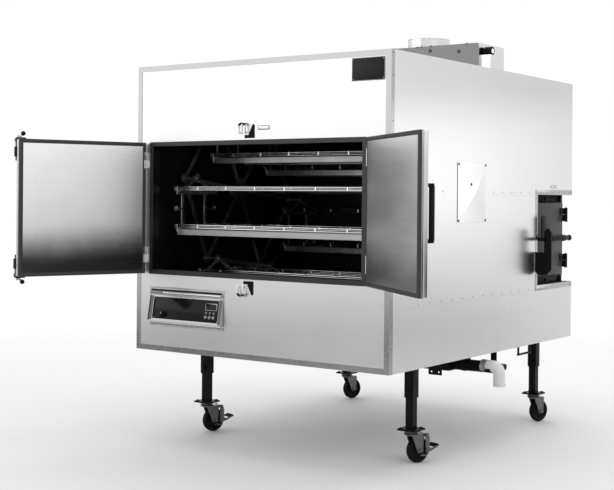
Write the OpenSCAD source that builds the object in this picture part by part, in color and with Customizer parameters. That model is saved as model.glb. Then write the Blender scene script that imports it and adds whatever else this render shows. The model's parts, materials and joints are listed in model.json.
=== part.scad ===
// Rotisserie smoker oven on casters, built as separate named pieces.
// Millimetres. Centre of the cabinet on the floor is the origin, front is -Y.

/* [Cabinet] */
// Width of the cabinet over its side sheets
cabinet_w = 1562; // [1540:1:1900]
// Depth of the cabinet, front sheet to back sheet
cabinet_d = 2035; // [2000:1:2400]
// Height of the cabinet alone
cabinet_h = 1483; // [1460:1:1700]
// Underside of the cabinet above the floor
lift = 489; // [470:1:560]
// Casing sheet thickness
skin = 2; // [1.5:0.1:3]
// Insulation thickness in every wall
lagging = 45; // [35:1:50]
// Chamber liner thickness
liner = 3; // [2:0.5:4]
// Depth of the cooking chamber
chamber_d = 1370; // [1365:1:1450]
// Width of the corner trim
trim_w = 28; // [20:1:40]
// Thickness of the corner trim
trim_t = 1.5; // [1:0.1:3]

// Side cover's front edge ahead of the shaft
cover_front = 116; // [100:1:140]
// Side cover's lower edge below the shaft
cover_low = 162; // [140:1:180]
// Side cover width
cover_w = 308; // [280:1:340]
// Side cover height
cover_h = 304; // [280:1:330]
// Side cover sheet thickness
cover_t = 2; // [1.5:0.1:3]
// Height of the cover's creased peak
cover_rise = 11; // [6:0.5:16]
// Cover lap round the pocket behind it
pocket_in = 13; // [10:1:20]
// Grease hole diameter
grease_d = 16; // [10:1:20]

/* [Doorway] */
// Left edge of the jamb flange from the cabinet's left side
jamb_x = 84; // [80:1:110]
// Width over the jamb flange
jamb_w = 1346; // [1250:1:1350]
// Lower edge of the jamb flange above the cabinet floor
jamb_z = 397; // [380:1:420]
// Height over the jamb flange
jamb_h = 689; // [640:1:700]
// Width of the flange round the doorway
jamb_band = 22; // [16:1:30]

/* [Doors] */
// Height of each door
door_h = 683; // [600:1:700]
// Gap between the two doors at the middle
door_split = 4; // [2:0.5:8]
// Hinge axis beyond the jamb's edge
hinge_out = 18; // [16:1:24]
// Hinge axis in front of the casing
hinge_front = 12; // [10:0.5:15]
// Overlap of the door edge past the hinge axis
door_past_hinge = 4; // [3:0.5:8]
// Depth of the light step behind the outer pan
step_t = 8; // [5:0.5:10]
// Depth of the outer pan
pan_t = 20; // [16:0.5:21]
// Outer pan edge set back from the hinge axis
pan_back = 18; // [18:0.5:30]
// Gap between closed gasket and casing
seat_gap = 0.3; // [0.3:0.1:1]
// How far the left door stands open
left_open = 111.5; // [0:0.5:140]
// How far the right door stands open
right_open = 141; // [0:0.5:141]
// Hinge pin diameter
hinge_pin_d = 6; // [5:0.5:8]
// Hinge knuckle diameter
knuckle_d = 11; // [10:0.5:14]
// Height of one hinge
hinge_h = 80; // [60:1:100]
// Running clearance on every radius
fit = 0.05; // [0.02:0.01:0.09]
// Distance of the handle from the door's free edge
handle_in = 84; // [70:1:120]
// Right handle from the right door's free edge
handle_in_r = 75; // [70:1:120]
// Distance between the handle bolts
handle_h = 256; // [200:1:320]
// Handle bar diameter
handle_d = 25; // [20:1:32]
// Handle bar axis in front of the pan
handle_out = 45; // [38:1:60]
// Handle's lower bolt above the door's lower edge
handle_up = 216; // [180:1:240]
// Width of each handle bracket
bracket_w = 28; // [20:1:36]
// Height of each handle bracket
bracket_h = 16; // [12:1:24]
// Lower hinge above the door's lower edge
hinge_low = 58; // [40:1:90]
// Upper hinge below the door's upper edge
hinge_high = 52; // [40:1:90]
// Reach of the notch in the door's edge at each hinge
notch_x = 9; // [8:0.5:12]
// Width of the gasket round the door
gasket_w = 20; // [15:1:26]
// Thickness of the hinge leaves
leaf_t = 3; // [2:0.5:4]
// Latch body width across the door
latch_w = 48; // [36:1:56]
// Latch body depth in front of the pan
latch_t = 25; // [20:1:32]
// Latch body length from its pivot towards the door's middle
latch_l = 103; // [90:1:120]
// Latch body length past its pivot
latch_over = 13; // [12.5:0.5:18]
// Latch strike length
strike_l = 50; // [30:1:60]
// Latch strike reach past the door's edge
strike_out = 5; // [3:0.5:8]
// Latch pivot from the door's free edge
pivot_in = 10; // [8:0.5:16]
// Latch pivot from the door's end
pivot_end = 5; // [5:0.5:12]
// Latch pivot pin diameter
pivot_d = 10; // [8:0.5:12]
// Latch lever thickness
lever_t = 5; // [4:0.5:6]
// Latch lever length from pivot to ball
lever_l = 48; // [40:1:60]
// Length of the lever's short finger
finger_l = 27; // [20:1:32]
// Ball diameter on the latch lever
ball_d = 24; // [20:1:30]
// Keepers from the left edge of the jamb flange
keep_in = 652; // [630:1:670]
// Keeper hook width
keep_w = 41; // [30:1:50]
// Keeper hook reach above or below the flange
keep_h = 77; // [60:1:90]
// Keeper strap in front of the casing
strap_out = 24; // [16:1:30]

/* [Rotisserie] */
// Clear path between the carriers and the chamber's front wall
swing_front = 57; // [40:1:80]
// Clear path between the carriers and the chamber's rear wall
swing_back = 31; // [20:1:60]
// Clear path between the carriers and the chamber's floor
swing_low = 12; // [10:1:40]
// Clear path between the hanging pins and the chamber's roof
swing_top = 108; // [80:1:140]
// Rest angle of the first hanging pin
rotor_rest = 173.06; // [150:0.01:180]
// Rotor shaft diameter
shaft_d = 50; // [40:1:60]
// Wheel rim and spoke bar width
wheel_bar = 23; // [21:1:30]
// Wheel bar thickness
wheel_t = 8; // [6:0.5:12]
// Wheel plane from the chamber side wall
wheel_in = 34; // [28:1:45]
// Shaft reach out through the left side into the gear motor
shaft_in = 86; // [70:1:110]
// Rotor hub diameter
hub_d = 130; // [100:1:160]
// Hanging pin diameter
hang_pin_d = 20; // [16:1:24]
// Diameter of the shaft's hole through each wall
shaft_hole = 96; // [80:1:120]
// Bearing flange half width outside the cabinet
bearing_out = 70; // [60:1:80]
// Bearing flange half width behind the right sheet
bearing_in = 65; // [55:1:70]
// Bearing flange thickness
bearing_t = 12; // [8:1:16]
// Gear motor length along the shaft
gear_l = 130; // [100:1:150]
// Gear motor depth
gear_d = 150; // [120:1:180]
// Gear motor height
gear_h = 190; // [150:1:220]
// Motor can diameter
can_d = 120; // [90:1:126]
// Motor can length
can_l = 190; // [140:1:220]
// Drive guard's reach out from the side
guard_out = 170; // [160:1:200]
// Drive guard ahead of the shaft
guard_front = 120; // [110:1:140]
// Drive guard behind the shaft
guard_back = 310; // [290:1:340]
// Drive guard above and below the shaft
guard_half = 140; // [120:1:160]
// Slots in the guard's underside
guard_slots = 8; // [4:1:10]
// Pitch of the guard's slots
slot_pitch = 28; // [20:1:30]

/* [Carriers] */
// Carrier end frame from the chamber side wall
frame_in = 120; // [100:1:140]
// Half width of a carrier between its stops
stop_half = 161; // [140:1:165]
// Height of each upturned stop
stop_h = 22; // [15:1:28]
// Drop from pin to the bottom of the carrier
carrier_drop = 303; // [280:1:306]
// Bottom beam angle leg
beam = 30; // [22:1:34]
// Rack depth front to back
rack_d = 305; // [260:1:312]
// Rack wire diameter
wire_d = 7; // [5:0.5:9]
// Upper rack below the pin
rack_up = 68; // [60:1:80]
// Lower rack below the pin
rack_low = 267; // [240:1:270]
// Height of each rack's rail
rail_h = 14; // [10:1:20]
// Cross wires in each rack
rack_wires = 23; // [10:1:30]
// Upright clips on each rail
rail_posts = 6; // [4:1:10]
// Carrier end frame thickness
frame_t = 8; // [6:0.5:12]
// Flat bar width in the end frames
flat_w = 24; // [18:1:28]
// Front upright bar ahead of the hanging pin
bar_front = 115; // [90:1:125]
// Rear upright bar behind the hanging pin
bar_rear = 67; // [50:1:90]
// Short middle bar below the hanging pin
bar_mid = 165.5; // [140:0.5:190]
// Stop thickness front to back
stop_t = 6; // [4:0.5:8]
// Width of the shelf that carries each rack
shelf = 18; // [12:1:24]

/* [Firebox] */
// Recess front edge behind the chamber's rear insulation
fire_gap = 98; // [90:1:140]
// Recess bottom above the cabinet's underside
fire_z = 323; // [300:1:340]
// Recess height
fire_h = 506; // [480:1:530]
// Recess depth in from the side sheet
fire_in = 60; // [55:1:65]
// Corner notch length at the back
notch = 83; // [70:1:95]
// Firebox inside length, into the cabinet
firebox_l = 560; // [450:1:700]
// Heat duct from the firebox's left wall
duct_left = 60; // [40:1:100]
// Heat duct from the firebox's right wall
duct_right = 140; // [100:1:180]
// Heat duct above the recess bottom
duct_low = 80; // [60:1:120]
// Heat duct height
duct_h = 160; // [120:1:200]
// Channel height above and below the fire door
channel_h = 42; // [35:1:50]
// Fire door thickness
fire_door_t = 40; // [30:1:45]
// Light trim width round the recess
fire_trim = 29; // [20:1:34]
// Latch bar height above the cabinet's underside
latch_z = 582; // [560:1:600]
// Firebox mouth set in from the recess edge
mouth_in = 34; // [25:1:45]
// Channel depth out from the firebox
channel_t = 28; // [20:1:36]
// Grate bar diameter
grate_d = 16; // [12:1:20]
// Bars in the grate
grate_bars = 7; // [5:1:9]
// First and last grate bar in from the firebox walls
grate_in = 61; // [40:1:80]
// Fire door hinge height
fire_hinge_h = 78; // [60:1:90]
// Fire door hinge knuckle diameter
fire_leaf_d = 18; // [16:1:22]
// Fire door hinge pin diameter
fire_pin_d = 10; // [8:1:12]
// Lower fire hinge above the recess bottom
fire_hinge_low = 86; // [70:1:110]
// Upper fire hinge below the recess top
fire_hinge_high = 75; // [60:1:100]
// Fire hinge pin inside the side sheet's face
fire_pin_in = 6; // [4:0.5:9]
// Fire hinge pin behind the door
fire_pin_back = 16; // [14:1:20]
// Latch bar width
latch_bar = 26; // [20:1:32]
// Latch bar thickness
latch_bar_t = 12; // [10:1:14]
// Heavy part of the latch bar from its pivot
latch_grip = 240; // [200:1:280]
// Hook plate ahead of the recess
hook_y = 26; // [20:1:36]
// Hook plate thickness
hook_t = 12; // [10:1:14]
// Hook plate below the latch bar
hook_low = 198; // [180:1:210]
// Hook prong above the latch bar
hook_high = 60; // [50:1:70]
// Hook plate's reach past the latch bar
hook_out = 81; // [70:1:90]
// Hook prong width
prong_w = 42; // [36:1:50]
// Step in the hook plate below the latch bar
hook_step = 72; // [60:1:80]
// Upright plate height above the latch bar
stay_h = 130; // [100:1:140]
// Upright plate width
stay_w = 74; // [60:1:90]

/* [Controls] */
// Control panel left edge
panel_x = 98; // [92:1:120]
// Control panel width
panel_w = 492; // [440:1:520]
// Control panel bottom
panel_z = 157; // [140:1:170]
// Control panel height
panel_h = 134; // [120:1:140]
// How far the panel's foot stands out
panel_out = 28; // [20:1:36]
// How far the panel's head stands out
panel_head = 3; // [2:0.5:6]
// Frame above the panel
head_band = 42; // [30:1:50]
// Frame below the panel
foot_band = 26; // [20:1:34]
// Frame beside the panel
side_band = 4; // [3:0.5:8]
// Sills in front of the casing
sill_out = 12; // [8:1:16]
// Faceplate from the panel's left edge
face_left = 30; // [20:1:40]
// Faceplate from the panel's right edge
face_right = 22; // [16:1:36]
// Faceplate above the panel's foot
face_low = 14; // [10:1:24]
// Faceplate below the panel's head
face_high = 10; // [8:1:20]
// Faceplate set back from the housing's face
face_in = 5; // [3:0.5:8]
// Faceplate thickness
face_t = 2; // [1.5:0.1:3]
// Knob centre from the panel's left edge
knob_left = 96; // [60:1:120]
// Knob centre up the panel
knob_row = 36; // [30:1:60]
// Knob height
knob_h = 15; // [10:1:20]
// First button from the panel's right edge
button_in = 105; // [90:1:130]
// Pitch of the buttons
button_pitch = 25; // [20:1:30]
// Buttons up the panel
button_row = 40; // [30:1:50]
// Lamps up the panel
lamp_row = 62; // [55:1:70]
// Lamp diameter
lamp_d = 9; // [6:0.5:12]
// Window width
window_w = 70; // [50:1:80]
// Window height
window_h = 30; // [20:1:36]
// Window up the panel
window_row = 78; // [74:1:84]
// Knob diameter
knob_d = 34; // [26:1:40]
// Button diameter
button_d = 12; // [9:0.5:15]
// Button travel
button_travel = 2.5; // [1.5:0.1:3]

/* [Legs] */
// Leg inset from the cabinet's sides
leg_in = 130.4; // [110:0.1:160]
// Front legs behind the front sheet
leg_y1 = 421.7; // [380:0.1:460]
// Rear legs behind the front sheet
leg_y2 = 1809.6; // [1760:0.1:1860]
// Outer size of the square leg sleeve
sleeve = 50.8; // [48:0.1:60]
// Size of the square leg tube
tube = 41; // [36:0.1:44]
// Sleeve length below the cabinet
sleeve_l = 167; // [130:1:200]
// Leg flange size under the cabinet
flange = 120; // [100:1:140]
// Leg flange thickness
flange_t = 6; // [4:0.5:8]
// Caster plate size
foot = 100; // [90:1:110]
// Caster plate thickness
plate_t = 8; // [6:0.5:10]
// Caster wheel diameter
wheel_d = 127; // [110:1:127]
// Caster wheel width
wheel_w = 32; // [26:1:36]
// Caster trail from swivel to axle
trail = 40.6; // [34:0.1:46]
// Axle diameter
axle_d = 12; // [10:0.5:16]
// Swivel housing diameter
swivel_d = 62; // [50:1:70]
// Swivel pin diameter
swivel_pin = 16; // [12:0.5:20]
// Fork cheek thickness
cheek_t = 5; // [3:0.5:6]
// Side gap between wheel and fork
wheel_gap = 3; // [1:0.5:5]
// Toe brake width
pedal_w = 28; // [20:1:32]
// Toe brake length
pedal_l = 44; // [36:1:56]
// Angle the casters stand turned at
caster_turn = 70.1; // [0:0.1:180]
// Caster height from floor to its mounting face
caster_h = 171; // [168:1:185]

/* [Top] */
// Housing left and right margin from the cabinet sides
hood_in = 158; // [120:1:200]
// Housing front face behind the front sheet
hood_y = 1150; // [1100:1:1200]
// Housing depth
hood_d = 300; // [280:1:340]
// Housing height
hood_h = 162; // [140:1:180]
// Draft motor stand length
stand_l = 62; // [50:1:80]
// Draft motor stand width
stand_w = 90; // [70:1:100]
// Draft motor diameter
motor_d = 46; // [36:1:56]
// Draft motor length
motor_l = 44; // [36:1:60]
// Draft motor axis above the cabinet
motor_up = 120; // [100:1:130]
// Draft motor axis behind the housing's face
motor_back = 60; // [50:1:80]
// Draft fan shaft diameter
fan_shaft = 8; // [6:0.5:10]
// Draft fan reach from its shaft's axis
fan_r = 40; // [30:1:50]
// Flue centre from the cabinet's left side
flue_x = 1006; // [900:1:1040]
// Flue collar outside diameter
flue_d = 245; // [200:1:254]
// Flue collar height
flue_h = 54; // [40:1:80]
// Flue collar wall
flue_t = 2; // [1.5:0.5:4]
// Flue collar flange width
flue_flange = 18; // [10:1:24]
// Width of the ledge round the opening under the flue
fume_ledge = 10; // [6:1:16]

/* [Drain] */
// Drain line behind the front sheet
drain_y = 1017; // [980:1:1060]
// Drain pipe axis below the cabinet
drain_drop = 74; // [70:1:85]
// Drain pipe outside diameter
drain_d = 60.3; // [50:0.1:62]
// Drain elbow outside diameter
elbow_d = 76; // [72:0.5:82]
// Drain trough length
trough_l = 303; // [260:1:340]
// Drain trough width
trough_w = 120; // [90:1:140]
// Drain trough sheet thickness
trough_t = 3; // [2:0.5:4]
// Trough end from the cabinet's right side
pipe_in = 217; // [180:1:240]
// Trough depth below the pipe's axis
trough_drop = 32; // [31:1:40]
// Drain opening from the cabinet's right side
drop_in = 420; // [380:1:460]
// Drain pipe wall
pipe_t = 3.5; // [2:0.5:5]
// Pipe band from the cabinet's right side
band_in = 170; // [150:1:190]
// Pipe band width
band_w = 24; // [16:1:30]
// Drain bracket centre from the cabinet's right side
bracket_in = 300; // [280:1:360]
// Drain bracket plate width
plate_w = 80; // [70:1:100]
// Drain bracket plate thickness
bracket_t = 4; // [3:0.5:6]
// Spacing of the bracket's holes
hole_gap = 44; // [36:1:56]
// Bracket hole diameter
hole_d = 10; // [8:0.5:12]
// Drain bracket below the pipe's axis
bracket_drop = 60; // [50:1:70]
// Elbow socket depth over the pipe
socket = 66; // [50:1:80]
// Elbow down leg length
down_l = 96; // [80:1:120]
// Elbow outlet bore depth
outlet_l = 40; // [30:1:50]
// Gas stub behind the front sheet
stub_y = 1240; // [1200:1:1300]
// Gas stub diameter
stub_d = 33; // [26:1:40]
// Gas stub below the cabinet
stub_drop = 100; // [80:1:110]
// Gas stub's reach towards the side
stub_l = 80; // [60:1:90]
// Free pipe end on the gas stub
stub_free = 42; // [30:1:50]
// Hose rail behind the front sheet
rail_y = 1400; // [1350:1:1450]
// Hose rail length
rail_l = 148; // [120:1:180]
// Hose rail below the cabinet
rail_drop = 50; // [40:1:60]
// Hose rail rod diameter
rail_d = 12; // [10:1:16]
// Hose rail from the cabinet's right side
rail_in = 32; // [26:1:50]
// Elbow outlet bore
outlet_d = 60.6; // [50:0.1:62]
// Distance of the elbow's down leg past the cabinet side
elbow_out = 40; // [38:1:60]

/* [Hidden] */
wall = skin + lagging + liner;
seam = 1;
cham_x0 = wall;
cham_x1 = cabinet_w - wall;
cham_y1 = wall + chamber_d;
cham_z1 = cabinet_h - wall;
mid_x = cabinet_w / 2;
jamb_x1 = jamb_x + jamb_w;
jamb_z1 = jamb_z + jamb_h;
door_x0 = jamb_x + jamb_band;
door_x1 = jamb_x1 - jamb_band;
door_z0 = jamb_z + jamb_band + 3;
door_z1 = jamb_z1 - jamb_band;
hinge_l = jamb_x - hinge_out;
hinge_r = jamb_x1 + hinge_out;
door_w = (hinge_r - hinge_l - 2 * door_past_hinge - door_split) / 2;
leaf_z0 = jamb_z + (jamb_h - door_h) / 2;
leaf_z1 = leaf_z0 + door_h;
gasket_t = hinge_front - seat_gap;
hinge_zs = [leaf_z0 + hinge_low, leaf_z1 - hinge_high - hinge_h];
rear_x0 = cham_x0;
rear_x1 = cabinet_w - fire_in;
rear_y0 = cham_y1 + liner + lagging;
rear_y1 = cabinet_d - skin - lagging;
fire_y = rear_y0 + fire_gap;
fire_z1 = fire_z + fire_h;
fire_door_y1 = cabinet_d - notch;
// the reel is as large as the chamber's depth and height leave it
rotor_r = min((chamber_d - swing_front - swing_back) / 2 - stop_half,
  (cham_z1 - wall - swing_low - carrier_drop - swing_top) / 2);
rotor_y = wall + swing_front + stop_half + rotor_r;
rotor_z = wall + swing_low + carrier_drop + rotor_r;
cover_y = rotor_y - cover_front;
cover_z = rotor_z - cover_low;
cover_y1 = cover_y + cover_w;
cover_z1 = cover_z + cover_h;
wheel_x = [cham_x0 + wheel_in, cham_x1 - wheel_in - wheel_t];
frame_x = [cham_x0 + frame_in, cham_x1 - frame_in - frame_t];
tip = [for (i = [0:5]) rotor_rest - 60 * i];
panel_tilt = atan2(panel_out - panel_head, panel_h);
panel_slope = sqrt(pow(panel_out - panel_head, 2) + pow(panel_h, 2));
legs = [[leg_in, leg_y1], [cabinet_w - leg_in, leg_y1],
        [leg_in, leg_y2], [cabinet_w - leg_in, leg_y2]];
fork_z = caster_h - lift - plate_t;
hood_z1 = cabinet_h + hood_h;
flue_y = hood_y + hood_d / 2;
fan_x = cabinet_w - hood_in;
fan_y = hood_y + motor_back;
fan_z = cabinet_h + motor_up;
drain_z = -drain_drop;
elbow_x = cabinet_w + elbow_out;
pipe_x0 = cabinet_w - pipe_in;
duct_x0 = rear_x1 - firebox_l + duct_left;
duct_x1 = rear_x1 - duct_right;
duct_z0 = fire_z + duct_low;
duct_z1 = duct_z0 + duct_h;
batt_gap = 0.2;
joint_gap = 0.1;
steel = [0.78, 0.79, 0.8];
bright = [0.86, 0.87, 0.88];
dark = [0.1, 0.1, 0.11];
grey = [0.4, 0.41, 0.42];

module cab() translate([-cabinet_w / 2, -cabinet_d / 2, lift]) children();
module box(a, b) translate(a) cube([b[0] - a[0], b[1] - a[1], b[2] - a[2]]);
module rod_x(p, d, l) translate(p) rotate([0, 90, 0]) cylinder(d = d, h = l, $fn = 48);
module rod_y(p, d, l) translate(p) rotate([-90, 0, 0]) cylinder(d = d, h = l, $fn = 48);
module rod_z(p, d, l) translate(p) cylinder(d = d, h = l, $fn = 48);
// a profile drawn in depth and height, run along the width
module run_x(x, l, pts) translate([x, 0, 0]) rotate([90, 0, 90])
  linear_extrude(height = l) polygon(pts);
module ring_y(x0, z0, x1, z1, band, y0, y1) difference() {
  box([x0, y0, z0], [x1, y1, z1]);
  box([x0 + band, y0 - seam, z0 + band], [x1 - band, y1 + seam, z1 - band]);
}

// the recess at the rear right, open at its side and its back
module fire_cut(grow) box([rear_x1 - 3, fire_y - grow, fire_z - grow],
  [cabinet_w + seam, cabinet_d + seam, fire_z1 + grow]);
module cover_pocket(x0, x1) box([x0, cover_y + pocket_in, cover_z + pocket_in],
  [x1, cover_y1 - pocket_in, cover_z1 - pocket_in]);
module panel_cut(y0, y1) box([panel_x, y0, panel_z], [panel_x + panel_w, y1, panel_z + panel_h]);
module fume_cut(z0, z1) rod_z([flue_x, flue_y, z0], flue_d - 2 * fume_ledge, z1 - z0);
module drop_cut(z0, z1) rod_z([cabinet_w - drop_in, drain_y, z0], drain_d - 2 * pipe_t + 1, z1 - z0);

module front_panel() color(steel) cab() difference() {
  box([0, 0, 0], [cabinet_w, skin, cabinet_h]);
  box([jamb_x, -seam, jamb_z], [jamb_x1, skin + seam, jamb_z1]);
  panel_cut(-seam, skin + seam);
}

module side_panels() color(steel) cab() {
  difference() {
    box([0, skin, 0], [skin, cabinet_d, cabinet_h]);
    rod_x([-seam, rotor_y, rotor_z], shaft_hole, skin + 2 * seam);
  }
  difference() {
    box([cabinet_w - skin, skin, 0], [cabinet_w, cabinet_d, cabinet_h]);
    fire_cut(2);
    cover_pocket(cabinet_w - skin - seam, cabinet_w + seam);
  }
}

module casing_wrap() color(steel) cab() difference() {
  union() {
    box([skin, skin, cabinet_h - skin], [cabinet_w - skin, cabinet_d, cabinet_h]);
    box([skin, cabinet_d - skin, 0], [cabinet_w - skin, cabinet_d, cabinet_h]);
  }
  fire_cut(2);
  fume_cut(cabinet_h - skin - seam, cabinet_h + seam);
}

module bottom_panel() color(steel) cab() difference() {
  box([skin, skin, 0], [cabinet_w - skin, cabinet_d - skin, skin]);
  drop_cut(-seam, skin + seam);
}

module corner_trim() color(bright) cab() {
  difference() {
    box([-trim_t, -trim_t, 0], [cabinet_w + trim_t, trim_w, cabinet_h]);
    box([0, 0, -seam], [cabinet_w, trim_w + seam, cabinet_h + seam]);
    box([trim_w, -trim_t - seam, trim_w], [cabinet_w - trim_w, seam, cabinet_h - trim_w]);
  }
}

// one insulation batt, with a hair's gap to its neighbours
module batt(a, b) box([for (i = [0:2]) a[i] + batt_gap], [for (i = [0:2]) b[i] - batt_gap]);
// four batts round a window; n is the thin direction and p and q run across it
module framed(a, b, h0, h1, n) {
  p = n == 0 ? 1 : 0;
  q = n == 2 ? 1 : 2;
  function cut(v, k, u, m, w) = [for (i = [0:2]) i == k ? u : i == m ? w : v[i]];
  batt(a, cut(b, p, h0[0], -1, 0));
  batt(cut(a, p, h1[0], -1, 0), b);
  batt(cut(a, p, h0[0], -1, 0), cut(b, p, h1[0], q, h0[1]));
  batt(cut(a, p, h0[0], q, h1[1]), cut(b, p, h1[0], -1, 0));
}
module insulation() color([0.85, 0.78, 0.5]) cab() {
  i0 = skin;
  i1 = wall - liner;
  xr = cabinet_w - i1;
  zt = cabinet_h - i1;
  xo = cabinet_w - skin;
  yo = cabinet_d - skin;
  zo = cabinet_h - skin;
  dx0 = door_x0 - liner;
  dx1 = door_x1 + liner;
  hole = shaft_hole / 2;
  flue_r = flue_d / 2 - fume_ledge;
  framed([i0, i0, i0], [xo, i1, door_z0 - liner], [panel_x - 1, panel_z - 1],
    [panel_x + panel_w + 1, panel_z + panel_h + 1], 1);
  batt([i0, i0, door_z0 - liner], [dx0, i1, door_z1 + liner]);
  batt([dx1, i0, door_z0 - liner], [xo, i1, door_z1 + liner]);
  batt([i0, i0, door_z1 + liner], [xo, i1, zo]);
  framed([i0, i1, i1], [i1, rear_y1, zt], [rotor_y - hole, rotor_z - hole],
    [rotor_y + hole, rotor_z + hole], 0);
  framed([xr, i1, i1], [xo, fire_y - 2, zt], [cover_y + pocket_in, cover_z + pocket_in],
    [cover_y1 - pocket_in, cover_z1 - pocket_in], 0);
  batt([rear_x1 - 3, fire_y - 2, i1], [xo, rear_y1, fire_z - 2]);
  batt([rear_x1 - 3, fire_y - 2, fire_z1 + 2], [xo, rear_y1, zt]);
  framed([i0, i1, i0], [xo, yo, i1], [cabinet_w - drop_in - drain_d / 2, drain_y - drain_d / 2],
    [cabinet_w - drop_in + drain_d / 2, drain_y + drain_d / 2], 2);
  framed([i0, i1, zt], [xo, yo, zo], [flue_x - flue_r, flue_y - flue_r],
    [flue_x + flue_r, flue_y + flue_r], 2);
  batt([i0, rear_y1, i1], [rear_x1 - 3, yo, zt]);
  batt([rear_x1 - 3, rear_y1, i1], [xo, yo, fire_z - 2]);
  batt([rear_x1 - 3, rear_y1, fire_z1 + 2], [xo, yo, zt]);
  framed([i1, cham_y1 + liner, i1], [xr, rear_y0, zt], [duct_x0, duct_z0], [duct_x1, duct_z1], 1);
}

// the passage that carries heat from the firebox into the chamber
module heat_duct(grow, over) box([duct_x0 - grow, cham_y1 - over, duct_z0 - grow],
  [duct_x1 + grow, fire_y - 2 + over, duct_z1 + grow]);

module chamber_liner() color([0.3, 0.3, 0.31]) cab() difference() {
  box([cham_x0 - liner, wall - liner, wall - liner],
    [cham_x1 + liner, cham_y1 + liner, cham_z1 + liner]);
  box([cham_x0, wall, wall], [cham_x1, cham_y1, cham_z1]);
  box([door_x0 - liner, 0, door_z0 - liner], [door_x1 + liner, wall + seam, door_z1 + liner]);
  rod_x([0, rotor_y, rotor_z], shaft_hole, cabinet_w);
  fume_cut(cham_z1 - seam, cabinet_h);
  drop_cut(0, wall + seam);
  heat_duct(0, seam);
}

module door_jamb() color(dark) cab() {
  difference() {
    union() {
      box([jamb_x, 0, jamb_z], [jamb_x1, skin, jamb_z1]);
      box([door_x0 - liner, 0, door_z0 - liner], [door_x1 + liner, wall, door_z1 + liner]);
    }
    box([door_x0, -seam, door_z0], [door_x1, wall + seam, door_z1]);
  }
}

// the panel face's own frame: across, up the slope, and out of the face
module on_panel() translate([0, -panel_out, panel_z]) rotate([90 - panel_tilt, 0, 0]) children();
module panel_peg(u, v, w, d, l) on_panel() translate([u, v, w]) cylinder(d = d, h = l, $fn = 40);
panel_x1 = panel_x + panel_w;
panel_z1 = panel_z + panel_h;
knob_at = [panel_x + knob_left, knob_row];
button_at = [for (i = [0:2]) [panel_x1 - button_in + button_pitch * i, button_row]];
lamp_at = [for (p = button_at) [p[0], lamp_row]];
// bores for the pegs start behind the faceplate
peg_l = 14;
peg_w = -face_in - face_t - peg_l;
bore_w = peg_w - 5;

module control_frame() color(bright) cab() {
  difference() {
    box([panel_x - side_band, -skin, panel_z - foot_band],
      [panel_x1 + side_band, 0, panel_z1 + head_band]);
    panel_cut(-seam - skin, seam);
  }
  box([panel_x + knob_left - 2, -sill_out, panel_z1 + 11], [panel_x1 - 13, -skin, panel_z1 + 17]);
  box([panel_x + face_left - 10, -sill_out, panel_z - 8], [panel_x1 - 12, -skin, panel_z - 3]);
}

knob_stem = 10;
module face(thick) on_panel() translate([panel_x + face_left, face_low, -face_in - face_t])
  cube([panel_w - face_left - face_right, panel_slope - face_low - face_high, thick]);
module control_housing() color(steel) cab() difference() {
  run_x(panel_x, panel_w, [[wall - 6, panel_z], [-panel_out, panel_z],
    [-panel_head, panel_z + panel_h], [wall - 6, panel_z + panel_h]]);
  face(3 * face_in);
  for (p = button_at) panel_peg(p[0], p[1], bore_w, button_d + 1, 30);
  panel_peg(knob_at[0], knob_at[1], bore_w, knob_stem + 2 * fit, 30);
}

module control_faceplate() color(dark) cab() difference() {
  face(face_t);
  for (p = button_at) panel_peg(p[0], p[1], bore_w, button_d + 1, 30);
  panel_peg(knob_at[0], knob_at[1], bore_w, knob_stem + 2, 30);
}

module panel_lights() color([0.5, 0.1, 0.05]) cab() {
  on_panel() translate([panel_x1 - window_w - 40, window_row, -face_in]) cube([window_w, window_h, 2]);
  for (p = lamp_at) panel_peg(p[0], p[1], -face_in, lamp_d, 3);
}

module button_peg(i) color([0.7, 0.15, 0.1]) cab() {
  panel_peg(button_at[i][0], button_at[i][1], peg_w, button_d, peg_l + face_t + button_travel + 2.5);
}
module button_1() button_peg(0);
module button_2() button_peg(1);
module button_3() button_peg(2);

module control_knob() color(dark) cab() {
  panel_peg(knob_at[0], knob_at[1], -face_in + 0.5, knob_d, knob_h);
  panel_peg(knob_at[0], knob_at[1], peg_w - 1, knob_stem, peg_l + face_t + 2);
  on_panel() translate([knob_at[0] - 2, knob_at[1], knob_h - face_in - 1]) cube([4, knob_d / 2, 3]);
}

keep_x = jamb_x + keep_in;
// a box whose height runs up or down from z, whichever way s points
module span(x0, y0, x1, y1, z, h0, h1, s)
  box([x0, y0, z + min(h0 * s, h1 * s)], [x1, y1, z + max(h0 * s, h1 * s)]);
module keeper(z, s) {
  span(keep_x - 19, -4, keep_x + keep_w - 3, 0, z, 8, 24, s);
  translate([0, 0, z]) rotate([90, 0, 0]) linear_extrude(height = 4) polygon(
    [[keep_x, 8 * s], [keep_x + keep_w, 8 * s], [keep_x + keep_w, (keep_h - 25) * s],
     [keep_x + keep_w - 7, keep_h * s], [keep_x + 12, keep_h * s], [keep_x, (keep_h - 27) * s]]);
  span(keep_x + 24, -strap_out, keep_x + 30, 0, z, 30, keep_h - 11, s);
  span(keep_x + 4, -strap_out, keep_x + 30, 4 - strap_out, z, 30, keep_h - 11, s);
}
module latch_keepers() color(dark) cab() {
  keeper(jamb_z1, 1);
  keeper(jamb_z, -1);
}

module side_cover() color(bright) cab() translate([cabinet_w, cover_y, cover_z]) difference() {
  union() {
    cube([cover_t, cover_w, cover_h]);
    hull() {
      translate([0, 6, 6]) cube([cover_t, cover_w - 12, cover_h - 12]);
      translate([cover_t, 0.58 * cover_w, 0.5 * cover_h]) cube([cover_rise - cover_t, 1, 1]);
    }
  }
  rod_x([-seam, 0.422 * cover_w, 0.635 * cover_h], grease_d, cover_rise + 2 * seam);
}

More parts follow.
